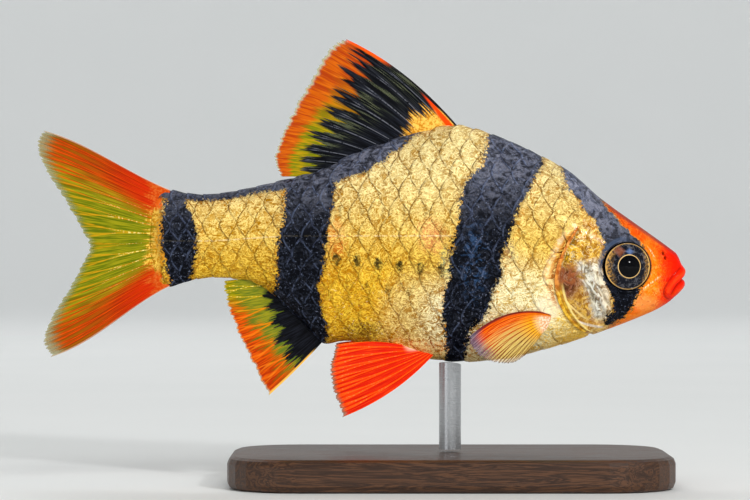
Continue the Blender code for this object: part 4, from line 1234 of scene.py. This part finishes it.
def pelvicMaterial():
    p, f = finPaint("pelvicFin", 0.07)
    u, v, streak, line = f.across, f.outward, f.streak, f.line
    red = p.mix(p.step(0.1, 0.7, f.ray), hue(206, 22, 0), hue(244, 62, 0))
    red = p.mix(p.step(0.5, 0.7, streak) * 0.45, red, hue(248, 84, 8))
    red = p.mix(p.step(0.44, 0.3, streak) * 0.5, red, hue(176, 14, 0))
    # painted pale glints along the rays
    red = p.mix(line * p.step(0.56, 0.64, f.fine) * 0.6, red, hue(255, 186, 120))
    red = p.mix(line * 0.6, red, hue(255, 104, 22))
    red = p.mix(p.step(0.95, 1.0, v + (streak - 0.5) * 0.05) * 0.75, red, hue(120, 110, 76))
    # a painted white glint at the fin's root
    red = p.mix(p.step(0.2, 0.08, v) * p.step(0.6, 0.95, u) * 0.85, red, hue(255, 228, 200))
    return finishFin(p, f, red, 1.0 - p.step(0.9, 1.0, v) * 0.3)


def pectoralMaterial():
    p, f = finPaint("pectoralFin", 0.03)
    u, v, streak, fine, line = f.across, f.outward, f.streak, f.fine, f.line
    top = p.step(0.44, 0.08, u + (streak - 0.5) * 0.4 + p.step(0.5, 0.1, v) * 0.1)
    web = p.mix(p.step(0.6, 0.2, v), hue(240, 206, 112), hue(255, 178, 10))
    thread = p.mix(p.step(0.25, 0.6, u), hue(176, 54, 0), hue(100, 44, 0))
    colour = p.mix(p.step(0.45, 0.85, f.ray), web, thread)
    upper = p.mix(p.step(0.35, 0.65, streak), hue(184, 42, 0), hue(240, 108, 4))
    upper = p.mix(p.step(0.8, 0.3, v) * line * 0.7, upper, hue(250, 160, 20))
    colour = p.mix(top, colour, upper)
    colour = p.mix(p.step(0.05, 0.02, u) * 0.9, colour, hue(104, 24, 28))
    violet = p.mix(p.step(0.4, 0.6, streak), hue(70, 68, 88), hue(146, 134, 146))
    colour = p.mix(p.step(0.8, 0.97, v) * p.step(0.55, 0.3, u) * 0.9, colour, violet)
    flesh = p.step(0.26, 0.1, v + (0.4 - u) * 0.1 + (fine - 0.5) * 0.1) * p.step(0.08, 0.2, u)
    pink = p.mix(p.step(0.4, 0.62, fine), hue(226, 164, 116), hue(255, 232, 206))
    colour = p.mix(flesh * 0.9, colour, pink)
    solid = 0.45 + p.step(0.55, 0.9, f.ray) * 0.5 + top * 0.6 + flesh * 0.6
    solid = solid + p.step(0.5, 0.2, v) * 0.3 - p.step(0.85, 1.0, v) * 0.2
    return finishFin(p, f, colour, solid)


# stand and room

def woodMaterial():
    p = Paint("standWood", Coat_Weight=0.12, Coat_Roughness=0.18, Specular_IOR_Level=0.3)
    grain = p.noise(p.position((0.05, 0.9, 0.9)), 1.6, 5.0, 0.65, 1.4)
    pores = p.noise(p.position((0.35, 6.0, 6.0)), 1.4, 2.0, 0.7)
    rings = p.maths("SINE", grain * 34.0) * 0.5 + 0.5
    wood = p.mix(rings, hue(44, 27, 17), hue(84, 54, 33))
    wood = p.mix(p.step(0.58, 0.72, pores) * 0.6, wood, hue(24, 14, 9))
    p.wear("Base Color", wood)
    p.wear("Roughness", 0.38 + rings * 0.12)
    p.wear("Normal", p.raised(pores + rings * 0.3, 0.25, 0.0001))
    return p


def steelMaterial():
    p = Paint("standSteel", Metallic=1.0)
    brushed = p.noise(p.position((0.6, 0.6, 22.0)), 1.2, 3.0, 0.7)
    p.wear("Base Color", p.mix(brushed, hue(150, 151, 154), hue(196, 197, 199)))
    p.wear("Roughness", 0.2 + brushed * 0.18)
    p.wear("Normal", p.raised(brushed, 0.12, 0.00005))
    return p


room = {"radius": 1.5, "height": 1.3, "bend": 0.6, "glow": 0.27, "glowFrom": 150.0, "glowTo": 700.0}


def makeRoom():  # a round floor that bends up into a pale wall on every side
    deselectAll()
    bpy.ops.mesh.primitive_cylinder_add(vertices=96, radius=room["radius"], depth=room["height"],
                                        location=(0, 0, room["height"] / 2))
    floor = bpy.context.active_object
    floor.name = "floorSweep"
    bpy.ops.object.transform_apply(location=True, rotation=True, scale=True)
    bpy.ops.object.mode_set(mode="EDIT")
    bpy.ops.mesh.select_mode(type="FACE")
    bpy.ops.mesh.select_all(action="DESELECT")
    bpy.ops.object.mode_set(mode="OBJECT")
    for face in floor.data.polygons:
        face.select = face.normal.z > 0.9
    bpy.ops.object.mode_set(mode="EDIT")
    bpy.ops.mesh.delete(type="ONLY_FACE")
    bpy.ops.mesh.select_all(action="SELECT")
    bpy.ops.mesh.flip_normals()
    bpy.ops.object.mode_set(mode="OBJECT")
    useModifier(floor, "BEVEL", width=room["bend"], segments=16, limit_method="ANGLE",
                angle_limit=math.radians(60))
    smoothFaces(floor)
    p = Paint("paleRoom", Roughness=0.85)
    p.wear("Base Color", p.mix(p.noise(p.position(), 0.02), hue(226, 228, 227), hue(232, 233, 232)))
    x, y, z = p.split(p.position())
    glow = p.step(room["glowFrom"], room["glowTo"], p.away(x, y)) * (1.0 - p.step(200.0, 600.0, z) * 0.55)
    p.wear("Emission Color", p.mix(glow, hue(0, 0, 0), hue(238, 240, 241)))
    p.shader.inputs["Emission Strength"].default_value = room["glow"]
    p.material.cycles.emission_sampling = "NONE"
    p.coat(floor)


def addLight(name, spot, target, size, power, tint):
    lamp = bpy.data.lights.new(name, "AREA")
    lamp.shape = "RECTANGLE"
    lamp.size, lamp.size_y = size
    lamp.energy = power
    lamp.color = tint
    item = bpy.data.objects.new(name, lamp)
    scene.collection.objects.link(item)
    way = np.array(target) - np.array(spot)
    item.location = spot
    yaw = math.atan2(way[1], way[0]) - math.pi / 2
    pitch = math.atan2(math.hypot(way[0], way[1]), -way[2])
    item.rotation_euler = (pitch, 0, yaw)


lights = {  # place, target, size, power and tint, in metres and watts
    "keyLight": ((0.22, -0.5, 0.52), (0, 0, 0.025), (0.34, 0.26), 1.55, (1.0, 0.985, 0.95)),
    "fillLight": ((-0.4, -0.5, 0.1), (-0.01, 0, 0.025), (0.4, 0.3), 0.5, (0.96, 0.98, 1.0)),
    "lowLight": ((0.05, -0.55, 0.02), (0, 0, 0.02), (0.4, 0.1), 1.0, (1.0, 0.99, 0.96)),
    "sparkLight": ((0.24, -0.42, 0.24), (0.0174, -0.004, 0.022), (0.05, 0.05), 1.15, (1.0, 1.0, 1.0)),
    "rimLight": ((-0.1, 0.35, 0.5), (0, 0, 0.03), (0.4, 0.2), 1.2, (1.0, 1.0, 1.0)),
}


def lightRoom():
    for name, settings in lights.items():
        addLight(name, *settings)
    for name in ("keyLight", "lowLight"):
        bpy.data.objects[name].visible_glossy = False
    world = bpy.data.worlds.new("room")
    scene.world = world
    world.use_nodes = True
    world.node_tree.nodes["Background"].inputs[0].default_value = (0.94, 0.97, 1.0, 1.0)
    world.node_tree.nodes["Background"].inputs[1].default_value = 0.26


lens, film = 150.0, 36.0


def aimCamera():  # square to the fish's right side, where the view is 75 mm wide at the fish
    camera = bpy.data.cameras.new("camera")
    camera.lens, camera.sensor_width = lens, film
    camera.clip_start = 0.01
    item = bpy.data.objects.new("camera", camera)
    away = viewWide / 10 * mm * lens / film
    item.location = ((viewWide / 2 - originAlong) / 10 * mm, -away, (originDown - viewTall / 2) / 10 * mm)
    item.rotation_euler = (math.radians(90), 0, 0)
    scene.collection.objects.link(item)
    scene.camera = item
    scene.view_settings.view_transform = "Standard"


# build

aimCamera()
makeRoom()
lightRoom()
print("room, lights and camera ready")

skin = makeSkin()
skinMaterial().coat(skin)
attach(skin, "root")
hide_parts("head", "torso", "tail_stalk")
print("skin made")

plating = scaleMaterial()
for piece in makeScales():
    plating.coat(piece)
    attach(piece, "root")

coverPaint, eyePaint = gillMaterial(), eyeMaterial()
for side, word in ((-1, "right"), (1, "left")):
    cover = makeGillCover("gillCover" + word.capitalize(), side)
    coverPaint.coat(cover)
    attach(cover, "root")
    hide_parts("gill_cover_" + word)
    eye = makeEye("eye" + word.capitalize(), side)
    eyePaint.coat(eye)
    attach(eye, "root")
    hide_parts("eye_" + word)
print("gill covers and eyes made")

tailPaint = tailMaterial()
finPaints = {"dorsalFin": dorsalMaterial(), "analFin": analMaterial(), "tailFinUpper": tailPaint,
             "tailFinLower": tailPaint, "pelvicFin": pelvicMaterial(), "pectoralFin": pectoralMaterial()}
for name, spec in fins.items():
    paired = name in ("pelvicFin", "pectoralFin")
    for side, word in (((-1, "right"), (1, "left")) if paired else ((0, ""),)):
        fin = makeFin(name + word.capitalize(), spec, side)
        finPaints[name].coat(fin)
        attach(fin, "root")
        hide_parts(spec["node"] + ("_" + word if paired else ""))
print("fins made")

woodMaterial().coat(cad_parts["stand_base"])
steelMaterial().coat(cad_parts["stand_rod"])
print("stand finished")
